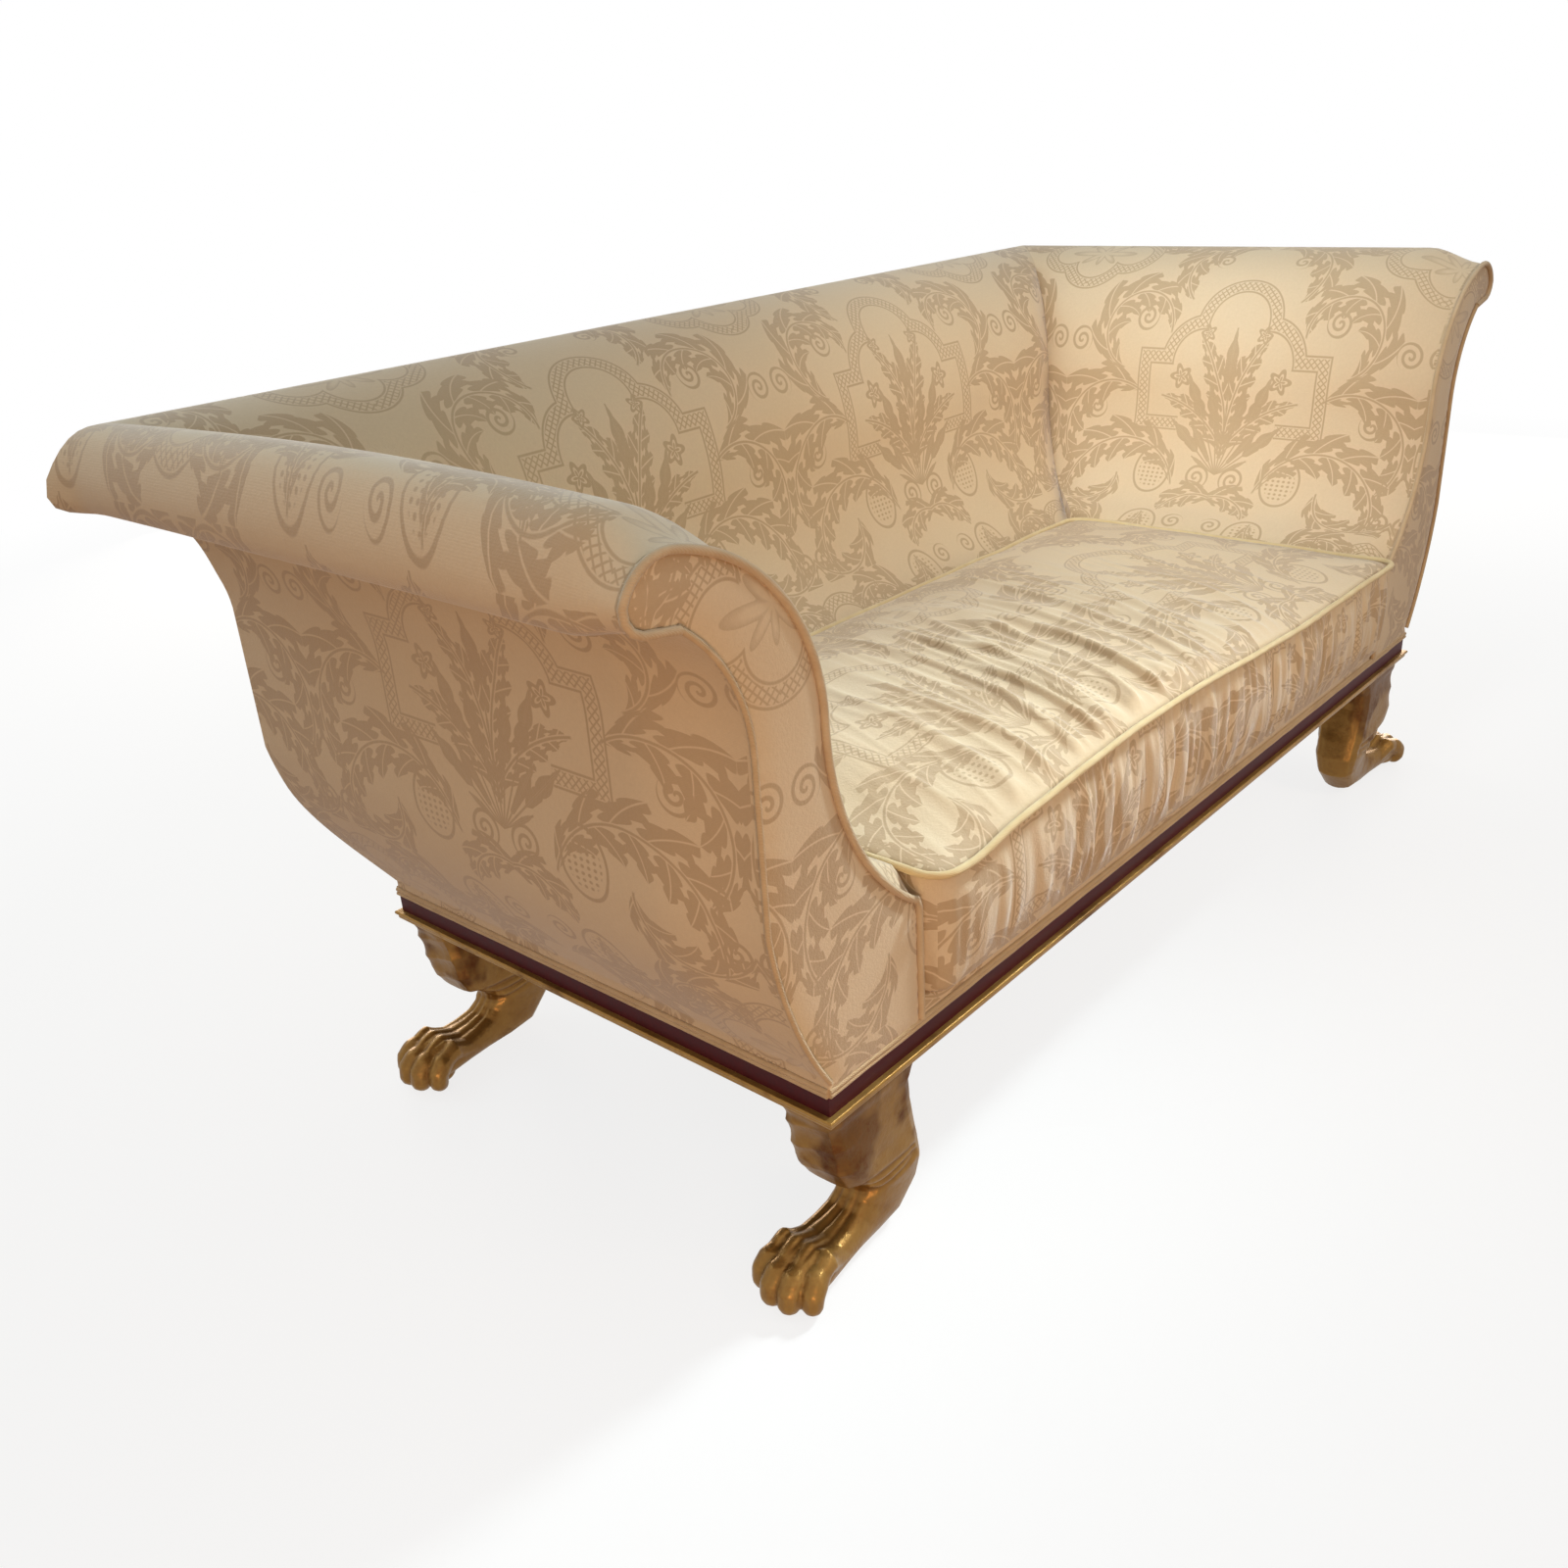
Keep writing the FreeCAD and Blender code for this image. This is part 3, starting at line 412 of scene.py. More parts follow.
damask = makeDamask("goldDamask")
creamPiping = makePipingCloth("creamPiping", colour(232, 214, 168), colour(206, 178, 124))
# a darker copy of the cream piping: painted shade for the cords on the arm facings
armCordShaded = makePipingCloth("armCordShaded", colour(214, 192, 156), colour(184, 156, 118))
selfWelt = makePipingCloth("selfWelt", colour(212, 186, 146), colour(182, 153, 112))
# the legs' gilt carries painted shade in its hollows and under the rail, and painted highlights on its crests
gilt = makeGilt("burnishedGiltPaintedLight", 5.0, -2.0, 0.9)
railGilt = makeGilt("railGilt", 0.1, 0.72, 0)
mahogany = makeWood("darkMahogany", colour(44, 9, 14), colour(88, 27, 30), 3, 0.42)
beech = makeWood("sawnBeech", colour(150, 112, 70), colour(192, 154, 106), 4, 0.6)
jute = makeCanvas("juteWebbing", colour(150, 120, 80), colour(186, 158, 112), 0.004)
cambric = makeCanvas("blackCambric", colour(26, 25, 25), colour(52, 49, 46), 0.002)
slotMaterial = {
    "beech": beech, "mahogany": mahogany, "giltwood": railGilt, "damask": damask,
    "piping": creamPiping, "webbing": jute, "bottoming": cambric,
}
for entry in frame["record"]["subparts"]:
    data = nodes[entry["node"]].data
    data.materials.clear()
    data.materials.append(slotMaterial[entry["material_slot"]])
print("materials ready")


def roundEdges(bm, edges, offset, segments):
    bmesh.ops.bevel(bm, geom=edges, offset=offset, offset_type="OFFSET", segments=segments, profile=0.5,
                    affect="EDGES", material=-1)


def makePiece(bm, name, material, body, replaced, sharp=50):
    bmesh.ops.recalc_face_normals(bm, faces=bm.faces)
    mesh = bpy.data.meshes.new(name)
    bm.to_mesh(mesh)
    bm.free()
    return placePiece(mesh, name, material, body, replaced, sharp)


def placePiece(mesh, name, material, body, replaced, sharp=50):
    mesh.materials.clear()
    mesh.materials.append(material)
    mesh.shade_smooth()
    mesh.set_sharp_from_angle(angle=math.radians(sharp))
    piece = bpy.data.objects.new(name, mesh)
    scene.collection.objects.link(piece)
    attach(piece, body)
    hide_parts(*replaced)
    return piece


def ease(share):  # 0 to 1 with soft ends
    share = min(1, max(0, share))
    return share * share * (3 - 2 * share)


def window(value, start, startRun, stop, stopRun):  # 1 between start and stop, with soft ends
    return ease((value - start) / startRun) * ease((stop - value) / stopRun)


# scroll section, out from the rail's face and up from the band; each stop has the bulge that follows it
scroll = {
    "inside": [(-0.155, 0.012, 0), (-0.155, 0.148, 0.004), (-0.141, 0.165, -0.030), (-0.021, 0.397, 0.050),
               (0.150, 0.604, 0.010), (0.203, 0.572, 0.006), (0.186, 0.546, 0), (0.146, 0.539, 0)],
    "padReturn": [(0.139, 0.545, 0), (0.137, 0.565, 0), (0.085, 0.565, 0), (0.083, 0.539, 0),
                  (-0.045, 0.012, 0)],
    "outside": [(0.146, 0.539, -0.020), (0.074, 0.395, 0), (0.074, 0.224, 0.012), (0, 0.020, 0), (0, 0, 0)],
    "panelReturn": [(-0.005, 0, 0), (-0.005, 0.020, -0.012), (0.069, 0.224, 0), (0.069, 0.395, 0.020),
                    (0.141, 0.539, 0)],
    "spacing": 0.010, "stations": 64, "swell": 0.024, "swellRun": 0.085, "seamDip": 0.015, "seamWide": 0.022,
}
rollRoot = scroll["inside"][3][1]
rollCrest, rollTop = scroll["inside"][4][:2]
rollLip = scroll["inside"][6][1]
panelTop = scroll["outside"][0][1]


def drawLine(bm, stops, closed=False):
    line = bm.verts.new((stops[0][0], stops[0][1], 0))
    first = line
    ends = stops[1:] + ([stops[0]] if closed else [])
    for start, stop in zip(stops, ends):
        one = Vector((start[0], start[1], 0))
        two = Vector((stop[0], stop[1], 0))
        run = two - one
        bulge = start[2]
        length = run.length
        if bulge:
            radius = (length * length / 4 + bulge * bulge) / (2 * abs(bulge))
            leftward = Vector((-run.y, run.x, 0)).normalized()
            centre = (one + two) / 2 + leftward * (bulge - math.copysign(radius, bulge))
            angle = -math.copysign(4 * math.atan2(2 * abs(bulge), length), bulge)
            steps = max(2, round(radius * abs(angle) / scroll["spacing"]))
            made = bmesh.ops.spin(bm, geom=[line], cent=centre, axis=(0, 0, 1), angle=angle, steps=steps)
        else:
            steps = max(1, round(length / (2 * scroll["spacing"])))
            made = bmesh.ops.spin(bm, geom=[line], cent=one, axis=(0, 0, 1), dvec=run / steps, angle=0,
                                  steps=steps)
        line = [item for item in made["geom_last"] if isinstance(item, bmesh.types.BMVert)][0]
    if closed:
        bmesh.ops.pointmerge(bm, verts=[first, line], merge_co=first.co)
        home = Vector((stops[0][0], stops[0][1], 0))
        first = [vert for vert in bm.verts if (vert.co - home).length < 1e-6][0]
    return first


def walkLine(bm, first):  # the line's points in order, from its first stop on
    order = [first]
    seen = {first}
    while True:
        ahead = [edge.other_vert(order[-1]) for edge in order[-1].link_edges]
        ahead = [vert for vert in ahead if vert not in seen]
        if not ahead:
            return order
        if len(order) == 1 and len(ahead) == 2:  # a closed line: follow the rising side
            ahead.sort(key=lambda vert: -vert.co.y)
        order.append(ahead[0])
        seen.add(ahead[0])


def linePoints(stops, place):
    bm = bmesh.new()
    order = walkLine(bm, drawLine(bm, stops))
    points = [place(vert.co) for vert in order]
    bm.free()
    return points


def sweepSection(stops, length, stations):  # section in local X and Y, run along local Z from 0
    bm = bmesh.new()
    rise = bm.verts.layers.float.new("rise")
    order = walkLine(bm, drawLine(bm, stops, closed=True))
    total = 0
    for before, vert in zip(order, order[1:]):
        total += (vert.co - before.co).length
        vert[rise] = total
    bm.verts.index_update()
    bmesh.ops.spin(bm, geom=bm.verts[:] + bm.edges[:], cent=(0, 0, 0), axis=(0, 0, 1), angle=0,
                   dvec=(0, 0, length / stations), steps=stations)
    bmesh.ops.holes_fill(bm, edges=[edge for edge in bm.edges if edge.is_boundary], sides=0)
    return bm


def rollSwell(point):  # how much of the roll's extra stuffing lifts this point of the section
    foot = rollLip if point.x > rollCrest else rollRoot
    return ease((point.y - foot) / (rollTop - foot))


def layCloth(bm, place):  # the cloth map, from each point's place on the cloth
    cloth = bm.loops.layers.uv.new("cloth")
    for face in bm.faces:
        for loop in face.loops:
            loop[cloth].uv = place(loop.vert)


def mapCloth(bm, axisPlace, footRise):
    rise = bm.verts.layers.float["rise"]
    layCloth(bm, lambda vert: (vert.co.z - axisPlace, vert[rise] - footRise))


def armMatrix(end):
    return Matrix(((end, 0, 0, end * railEnd), (0, 0, 1, railFront), (0, 1, 0, bandTop), (0, 0, 0, 1)))


backMatrix = Matrix(((0, 0, 1, 0), (1, 0, 0, railBack), (0, 1, 0, bandTop), (0, 0, 0, 1)))

# arms and back: where the cloth's arch stands on each cover, along it and up it
covers = {
    "armAxis": 0.345, "insideArmFoot": 0.375, "outsideArmFoot": 0.330,
    "backAxis": 0.327, "insideBackFoot": 0.415, "outsideBackFoot": 0.330,
    "skin": 0.005, "armFill": 0.85, "panelFill": 1.0, "lumps": 0.0022,
    "shoulder": 0.028, "shoulderAt": 0.160, "shoulderWide": 0.042, "shoulderRun": 0.034,
    "shoulderIn": 0.18, "hang": 0.014, "bow": {"left": 0.012, "right": 0}, "outset": 0.016, "outsetRun": 0.12,
}


def seamPull(away):
    return scroll["seamDip"] * math.exp(-((away / scroll["seamWide"]) ** 2))


def softLump(point, seed):
    return noise.noise(Vector((point.x * 7 + seed, point.y * 7, point.z * 5))) * covers["lumps"]


def lineLength(stops):
    points = linePoints(stops, lambda co: co.copy())
    return sum((two - one).length for one, two in zip(points, points[1:]))


insideLength = lineLength(scroll["inside"])


def rollHang(point):  # how much of the roll's sag lowers this point of the section
    return ease((point.x - 0.12) / 0.04) * ease((rollTop - point.y) / 0.045)


def panelOutset(point):  # padding under an outside panel, none at its foot and its top
    return covers["outset"] * window(point.y, 0.02, 0.15, panelTop, 0.10)


def puffCover(vert, rise, away, swell, along, seed):  # the stuffing under an inside cover
    co = vert.co
    if vert[rise] < insideLength - 0.001:
        lower = ease((0.60 - co.y) / 0.05)
        lump = softLump(Vector((co.x, co.y, along)), seed) * ease(away / 0.06)
        lift = (scroll["swell"] * rollSwell(co) - covers["hang"] * rollHang(co)) * swell
        co.x += (seamPull(away) + lump) * lower
        co.y += lift


def insideArm(side, end):
    bm = sweepSection(scroll["inside"] + scroll["padReturn"], railDepth, scroll["stations"])
    rise = bm.verts.layers.float["rise"]
    for vert in bm.verts:
        share = vert.co.z / railDepth
        reach = railDepth + vert.co.x - covers["skin"]
        along = covers["skin"] + share * reach
        bow = covers["bow"][side] * rollSwell(vert.co) * math.sin(math.pi * share)
        puffCover(vert, rise, (1 - share) * reach, ease(along / scroll["swellRun"]), along, end * 3)
        vert.co.y += bow
        if vert[rise] < insideLength - 0.001:  # the stuffing stands up behind the welt beside the squab
            near = math.exp(-(((vert.co.y - covers["shoulderAt"]) / covers["shoulderWide"]) ** 2))
            near *= ease(along / covers["shoulderRun"])
            vert.co.y += covers["shoulder"] * near
            vert.co.x -= covers["shoulder"] * near * covers["shoulderIn"]
        vert.co.z = covers["skin"] + share * (railDepth + vert.co.x - covers["skin"])
    mapCloth(bm, covers["armAxis"], covers["insideArmFoot"])
    bmesh.ops.transform(bm, matrix=armMatrix(end), verts=bm.verts)
    piece = makePiece(bm, "insideArm" + side.title(), damask, "frame", ["inside_arm_" + side])
    return piece


def outsideArm(side, end):
    bm = sweepSection(scroll["outside"] + scroll["panelReturn"], railDepth, scroll["stations"])
    for vert in bm.verts:
        vert.co.x += panelOutset(vert.co) * ease(vert.co.z / covers["outsetRun"])
        vert.co.z = covers["skin"] + vert.co.z * (railDepth + vert.co.x - covers["skin"]) / railDepth
    mapCloth(bm, covers["armAxis"], covers["outsideArmFoot"])
    bmesh.ops.transform(bm, matrix=armMatrix(end), verts=bm.verts)
    piece = makePiece(bm, "outsideArm" + side.title(), damask, "frame", ["outside_arm_" + side])
    return piece


def backCover(name, stops, foot, node, puffed):
    bm = sweepSection(stops, 2 * railEnd, 2 * scroll["stations"])
    rise = bm.verts.layers.float["rise"]
    for vert in bm.verts:
        share = vert.co.z / railEnd - 1
        reach = railEnd + vert.co.x
        if puffed:
            puffCover(vert, rise, (1 - abs(share)) * reach, 1, share * reach, 9)
        else:
            vert.co.x += panelOutset(vert.co)
        vert.co.z = share * (railEnd + vert.co.x)
    mapCloth(bm, covers["backAxis"], foot)
    bmesh.ops.transform(bm, matrix=backMatrix, verts=bm.verts)
    piece = makePiece(bm, name, damask, "frame", [node])
    return piece


for side, end in (("left", -1), ("right", 1)):
    insideArm(side, end)
    outsideArm(side, end)
backCover("insideBack", scroll["inside"] + scroll["padReturn"], covers["insideBackFoot"],
          "inside_back", True)
backCover("outsideBack", scroll["outside"] + scroll["panelReturn"], covers["outsideBackFoot"],
          "outside_back", False)
print("arms and back covered")

# front facings, a little domed, with a cord round the scroll and a welt down the outer edge
facing = {"grain": 0.012, "dome": 0.0045, "domeRun": 0.030, "cord": 0.0041, "welt": 0.0032,
          "axis": 0.29, "foot": 0.22, "fill": 1.0}


def tubePiece(points, radius, name, material, body, replaced, closed=False):
    curve = bpy.data.curves.new(name, "CURVE")
    curve.dimensions = "3D"
    curve.bevel_depth = radius
    curve.bevel_resolution = 3
    curve.use_fill_caps = not closed
    spline = curve.splines.new("POLY")
    spline.points.add(len(points) - 1)
    for spot, point in zip(spline.points, points):
        spot.co = (*point, 1)
    spline.use_cyclic_u = closed
    shaper = bpy.data.objects.new(name + "Line", curve)
    mesh = bpy.data.meshes.new_from_object(shaper)
    bpy.data.objects.remove(shaper)
    return placePiece(mesh, name, material, body, replaced)


def frontFacing(side, end):
    bm = bmesh.new()
    drawLine(bm, [(-0.155, 0, 0)] + scroll["inside"][1:-1] + scroll["outside"], closed=True)
    face = bmesh.ops.contextual_create(bm, geom=bm.edges[:])["faces"][0]
    bmesh.ops.triangulate(bm, faces=[face], quad_method="BEAUTY", ngon_method="BEAUTY")
    for cut in range(5):
        long = [edge for edge in bm.edges if edge.calc_length() > facing["grain"] and not edge.is_boundary]
        bmesh.ops.subdivide_edges(bm, edges=long, cuts=1)
        bmesh.ops.triangulate(bm, faces=bm.faces, quad_method="BEAUTY", ngon_method="BEAUTY")
        bmesh.ops.beautify_fill(bm, faces=bm.faces, edges=[edge for edge in bm.edges if not edge.is_boundary])
    rim = [vert.co.copy() for vert in bm.verts if vert.is_boundary]
    sheet = bm.faces[:]
    back = bmesh.ops.extrude_face_region(bm, geom=sheet, use_keep_orig=True)
    behind = [item for item in back["geom"] if isinstance(item, bmesh.types.BMVert)]
    bmesh.ops.translate(bm, vec=(0, 0, covers["skin"]), verts=behind)
    for vert in {vert for flat in sheet for vert in flat.verts}:  # stuffed a little between its seams
        nearest = min((vert.co - spot).length for spot in rim)
        vert.co.z = -facing["dome"] * math.sqrt(ease(nearest / facing["domeRun"]))
    layCloth(bm, lambda vert: (vert.co.x + facing["axis"], vert.co.y - facing["foot"]))
    bmesh.ops.transform(bm, matrix=armMatrix(end), verts=bm.verts)
    piece = makePiece(bm, "armFacing" + side.title(), damask, "frame", ["arm_facing_" + side])
    cordStops = [(-0.155, 0.012, 0)] + scroll["inside"][1:]
    lift = -facing["cord"] * 0.8

    def cordPlace(co):
        return Vector((end * (railEnd + co.x), railFront + lift, bandTop + co.y))

    tubePiece(linePoints(cordStops, cordPlace), facing["cord"], "armPiping" + side.title(), armCordShaded,
              "frame", ["arm_piping_" + side])
    tubePiece(linePoints(scroll["outside"][:-1], cordPlace), facing["welt"], "armWelt" + side.title(),
              selfWelt, "frame", [])


for side, end in (("left", -1), ("right", 1)):
    frontFacing(side, end)
print("facings and piping done")

# double welt over the band, border under the squab, bottoming cloth and webbing
trim = {"welt": 0.0029, "levels": (0.0032, 0.0088), "out": 0.0016, "step": 0.03, "wave": 0.0006,
        "borderFill": 0.9, "borderRound": 0.008, "strapWide": 0.05, "straps": {
            "seat_webbing": ["seat_rail_front", "seat_rail_back"],
            "arm_webbing_left": ["arm_top_rail_left", "arm_stay_rail_left"],
            "arm_webbing_right": ["arm_top_rail_right", "arm_stay_rail_right"],
            "back_webbing": ["back_top_rail", "back_stay_rails"]}}


def gimpSide(side, start, stop, outward):
    bm = bmesh.new()
    run = stop - start
    steps = max(8, round(run.length / trim["step"]))
    for level in trim["levels"]:
        turn = run.to_track_quat("Z", "Y").to_matrix().to_4x4()
        base = start + outward * trim["out"] + Vector((0, 0, bandTop + level))
        place = Matrix.Translation(base) @ turn
        ring = bmesh.ops.create_circle(bm, segments=10, radius=trim["welt"], matrix=place)
        edges = list({edge for vert in ring["verts"] for edge in vert.link_edges})
        bmesh.ops.spin(bm, geom=ring["verts"] + edges, cent=base, axis=(0, 0, 1), angle=0,
                       dvec=run / steps, steps=steps)
    for vert in bm.verts:
        vert.co += outward * noise.noise(vert.co * 60) * trim["wave"]
        vert.co.z += noise.noise(vert.co * 45 + Vector((5, 0, 0))) * trim["wave"]
    bmesh.ops.holes_fill(bm, edges=[edge for edge in bm.edges if edge.is_boundary], sides=0)
    makePiece(bm, "gimp" + side.title(), selfWelt, "frame", ["gimp_" + side])


def railCorner(end, row):  # end -1 left and 1 right, row -1 front and 1 back
    return Vector((end * railEnd, railFront if row < 0 else railBack, 0))


gimpSide("front", railCorner(-1, -1), railCorner(1, -1), Vector((0, -1, 0)))
gimpSide("back", railCorner(1, 1), railCorner(-1, 1), Vector((0, 1, 0)))
gimpSide("left", railCorner(-1, 1), railCorner(-1, -1), Vector((-1, 0, 0)))
gimpSide("right", railCorner(1, -1), railCorner(1, 1), Vector((1, 0, 0)))


def seatBorder():
    low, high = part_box("seat_platform")
    bm = bmesh.new()
    bmesh.ops.create_cube(bm, size=1)
    size = high - low
    middle = (low + high) / 2
    bmesh.ops.scale(bm, vec=size, verts=bm.verts)
    bmesh.ops.translate(bm, vec=middle, verts=bm.verts)
    roundEdges(bm, bm.edges[:], trim["borderRound"], 3)
    layCloth(bm, lambda vert: (vert.co.x - covers["backAxis"], vert.co.z + vert.co.y))
    piece = makePiece(bm, "seatBorder", damask, "frame", ["seat_platform"])


def coverCopy(name, material, sources, bevel):
    bm = bmesh.new()
    for source in sources:
        bm.from_mesh(nodes[source].data)
    bmesh.ops.remove_doubles(bm, verts=bm.verts, dist=1e-5)
    bmesh.ops.dissolve_limit(bm, angle_limit=math.radians(2), verts=bm.verts, edges=bm.edges)
    roundEdges(bm, bm.edges[:], bevel, 2)
    return makePiece(bm, name, material, "frame", sources)


seatBorder()
for source, rails in trim["straps"].items():
    words = source.title().replace("_", "")
    web = coverCopy(words[0].lower() + words[1:], jute, [source], 0.0004)
bottoming = coverCopy("bottomingCloth", cambric, ["dust_cover"], 0.0004)
print("trim done")

# carved lion legs: stations run from an inner to an outer point of the leg's side view, in metres
legCarving = {
    "stations": [  # inner point, outer point, half width
        ((-0.166, 0.220), (-0.002, 0.220), 0.040), ((-0.145, 0.192), (-0.005, 0.192), 0.040),
        ((-0.145, 0.165), (-0.011, 0.165), 0.041), ((-0.152, 0.138), (-0.015, 0.140), 0.041),
        ((-0.162, 0.108), (-0.029, 0.112), 0.041), ((-0.170, 0.076), (-0.064, 0.094), 0.039),
        ((-0.167, 0.044), (-0.074, 0.079), 0.034), ((-0.138, 0.010), (-0.068, 0.064), 0.030),
        ((-0.096, 0.006), (-0.056, 0.055), 0.030), ((-0.054, 0.008), (-0.036, 0.050), 0.032),
        ((-0.018, 0.010), (-0.012, 0.048), 0.035), ((0.008, 0.010), (0.012, 0.048), 0.037),
        ((0.028, 0.010), (0.030, 0.042), 0.037),
    ],
    "sides": 28, "square": 0.30, "splay": 0.06, "splayFrom": -0.060, "voxel": 0.0017, "smooth": 3,
    "toes": [(-0.0305, -0.014), (-0.0104, 0.0), (0.0104, 0.001), (0.0305, -0.012)],  # across, set back
    "toeForm": [  # along, up, round
        (-0.022, 0.034, 0.0140), (-0.004, 0.041, 0.0148), (0.012, 0.0460, 0.0158),
        (0.024, 0.0445, 0.0140), (0.036, 0.0400, 0.0130), (0.047, 0.0360, 0.0154),
        (0.0555, 0.028, 0.0156), (0.0575, 0.0180, 0.0146), (0.054, 0.0120, 0.0118),
    ],
    "pad": ((0.028, 0.013), (0.028, 0.034, 0.013)),
    "creases": [(0.104, 0.05, 0.0030), (0.090, -0.06, 0.0036), (0.077, -0.22, 0.0026)],  # level, slope, depth
    "creaseWide": 0.0042, "tendonDeep": 0.0026, "tendonWide": 0.0036, "muscle": 0.0042, "scallop": 0.0030,
    "half": 0.040, "tendons": (-0.0195, 0, 0.0195),
    "hock": (-0.157, 0.02, -0.020, 0.03), "thigh": (0.105, 0.03, 0.212, 0.012),  # start, run, stop, run
    "footUp": (0.040, 0.012, 0.085, 0.01), "footAlong": (-0.085, 0.03, 0.040, 0.02),
}


def toeMesh():  # one finger, knuckled twice
    bm = bmesh.new()
    form = legCarving["toeForm"]
    for one, two in zip(form, form[1:]):
        for step in range(4):
            along, up, girth = (a + (b - a) * step / 4 for a, b in zip(one, two))
            place = Matrix.Translation((along, 0, up))
            bmesh.ops.create_icosphere(bm, subdivisions=2, radius=girth, matrix=place)
    mesh = bpy.data.meshes.new("toe")
    bm.to_mesh(mesh)
    bm.free()
    return mesh


def carvedLeg():
    look = legCarving
    bm = bmesh.new()
    rings = []
    for inner, outer, half in look["stations"]:
        one = Vector((inner[0], 0, inner[1]))
        two = Vector((outer[0], 0, outer[1]))
        along = (two - one) / 2
        axis = along.normalized().cross(Vector((0, 1, 0)))
        turn = Matrix((along.normalized(), Vector((0, 1, 0)), axis)).transposed().to_4x4()
        place = Matrix.Translation((one + two) / 2) @ turn @ Matrix.Diagonal((along.length, half, 1, 1))
        ring = bmesh.ops.create_circle(bm, segments=look["sides"], radius=1, matrix=place)
        square = look["square"] * (0.4 + 0.6 * ease((one.z + two.z) / 0.34))
        for vert in ring["verts"]:  # squarer than a plain ellipse, most of all at the top
            local = place.inverted() @ vert.co
            vert.co = place @ (local * (1 + square * (1 - abs(local.x * local.x - local.y * local.y))))
        rings.append(list({edge for vert in ring["verts"] for edge in vert.link_edges}))
    for lower, upper in zip(rings, rings[1:]):
        bmesh.ops.bridge_loops(bm, edges=lower + upper)
    bmesh.ops.holes_fill(bm, edges=[edge for edge in bm.edges if edge.is_boundary], sides=0)
    toe = toeMesh()
    for aside, back in look["toes"]:
        count = len(bm.verts)
        bm.from_mesh(toe)
        bm.verts.ensure_lookup_table()
        for vert in bm.verts[count:]:
            vert.co.y += aside * (0.80 + 0.26 * vert.co.x / 0.06)
            vert.co.x += back * ease(vert.co.x / 0.03)
            vert.co.z *= 1 - 4 * abs(aside) * ease((0.02 - vert.co.x) / 0.03)  # outer toes spring lower
    spot, shape = look["pad"]
    bmesh.ops.create_uvsphere(bm, u_segments=24, v_segments=14, radius=1,
                              matrix=Matrix.Translation((spot[0], 0, spot[1])) @ Matrix.Diagonal((*shape, 1)))
    for vert in bm.verts:  # the paw turns a little to the front
        vert.co.y -= look["splay"] * max(0, vert.co.x - look["splayFrom"]) * ease((0.10 - vert.co.z) / 0.02)
    bmesh.ops.recalc_face_normals(bm, faces=bm.faces)
    return bm


def carveDetail(mesh):
    look = legCarving
    moves = []
    for vert in mesh.vertices:
        co = vert.co
        cut = 0
        for level, slope, deep in look["creases"]:  # folds of skin round the hock
            away = co.z - level - slope * (co.x + 0.10)
            reach = window(co.x, *look["hock"])
            cut += deep * reach * math.exp(-((away / look["creaseWide"]) ** 2))
        spread = 0.55 + 0.45 * ease((co.x + 0.09) / 0.11)
        top = window(co.z, *look["footUp"]) * window(co.x, *look["footAlong"])
        for groove in look["tendons"]:  # tendons along the foot
            aside = (co.y - groove * spread) / look["tendonWide"]
            cut += look["tendonDeep"] * top * math.exp(-(aside ** 2))
        thigh = window(co.z, *look["thigh"])
        cut += look["muscle"] * thigh * noise.noise(Vector((co.x * 24, co.y * 30, co.z * 12)))
        outer = ease((co.x + 0.055) / 0.045)  # locks of mane down the outer edge
        cut += look["scallop"] * thigh * outer * abs(math.sin(co.z * 95 + co.y * 18))
        moves.append(vert.normal * -cut)
    for vert, move in zip(mesh.vertices, moves):
        vert.co += move
        vert.co.z = min(max(vert.co.z, 0), legTop)


def remeshed(bm, name, voxel, smooth=0):  # one skin of small even faces
    mesh = bpy.data.meshes.new(name)
    bm.to_mesh(mesh)
    bm.free()
    blank = bpy.data.objects.new(name, mesh)
    scene.collection.objects.link(blank)
    remesh = blank.modifiers.new("fuse", "REMESH")
    remesh.mode = "VOXEL"
    remesh.voxel_size = voxel
    if smooth:
        soften = blank.modifiers.new("soften", "SMOOTH")
        soften.factor = 0.5
        soften.iterations = smooth
    view = bpy.context.evaluated_depsgraph_get()
    made = bpy.data.meshes.new_from_object(blank.evaluated_get(view))
    bpy.data.objects.remove(blank)
    return made


legMesh = remeshed(carvedLeg(), "legBlank", legCarving["voxel"], legCarving["smooth"])
carveDetail(legMesh)
for deep, row in (("front", -1), ("back", 1)):
    for side, end in (("left", -1), ("right", 1)):
        mesh = legMesh.copy()
        spot = railCorner(end, row) - Vector((0, row * legCarving["half"], 0))
        mesh.transform(Matrix.Translation(spot) @ Matrix.Diagonal((end, 1, 1, 1)))
        if end < 0:  # the left pair mirror the right
            mesh.flip_normals()
        name = "leg" + deep.title() + side.title()
        placePiece(mesh, name, gilt, "frame", ["leg_%s_%s" % (deep, side)], 80)
print("legs carved")

# loose squab: the front seam rises along its middle and the cover creases back from it
squab = {
    "round": 0.028, "voxel": 0.008, "pressure": 4.0, "frames": 20, "cap": 0.022, "shrink": 0.010, "fill": 0.7,
    "seamUp": 0.150, "crown": 0.018, "belly": 0.007, "cord": 0.0045,
    "rise": 0.022, "riseAt": -0.18, "riseWide": 0.30, "dip": 0.008, "dipAt": -0.57, "dipWide": 0.05,
    "fold": 0.0128, "foldsAt": -0.16, "foldsWide": 0.34, "lean": 0.34, "gather": 0.0068, "slack": 0.006,
    "mapAcross": 0.33, "mapBack": 0.30, "mapUp": 0.32,
}
squabLow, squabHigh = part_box("seat_cushion")
squabSeam = squabLow.z + squab["seamUp"]


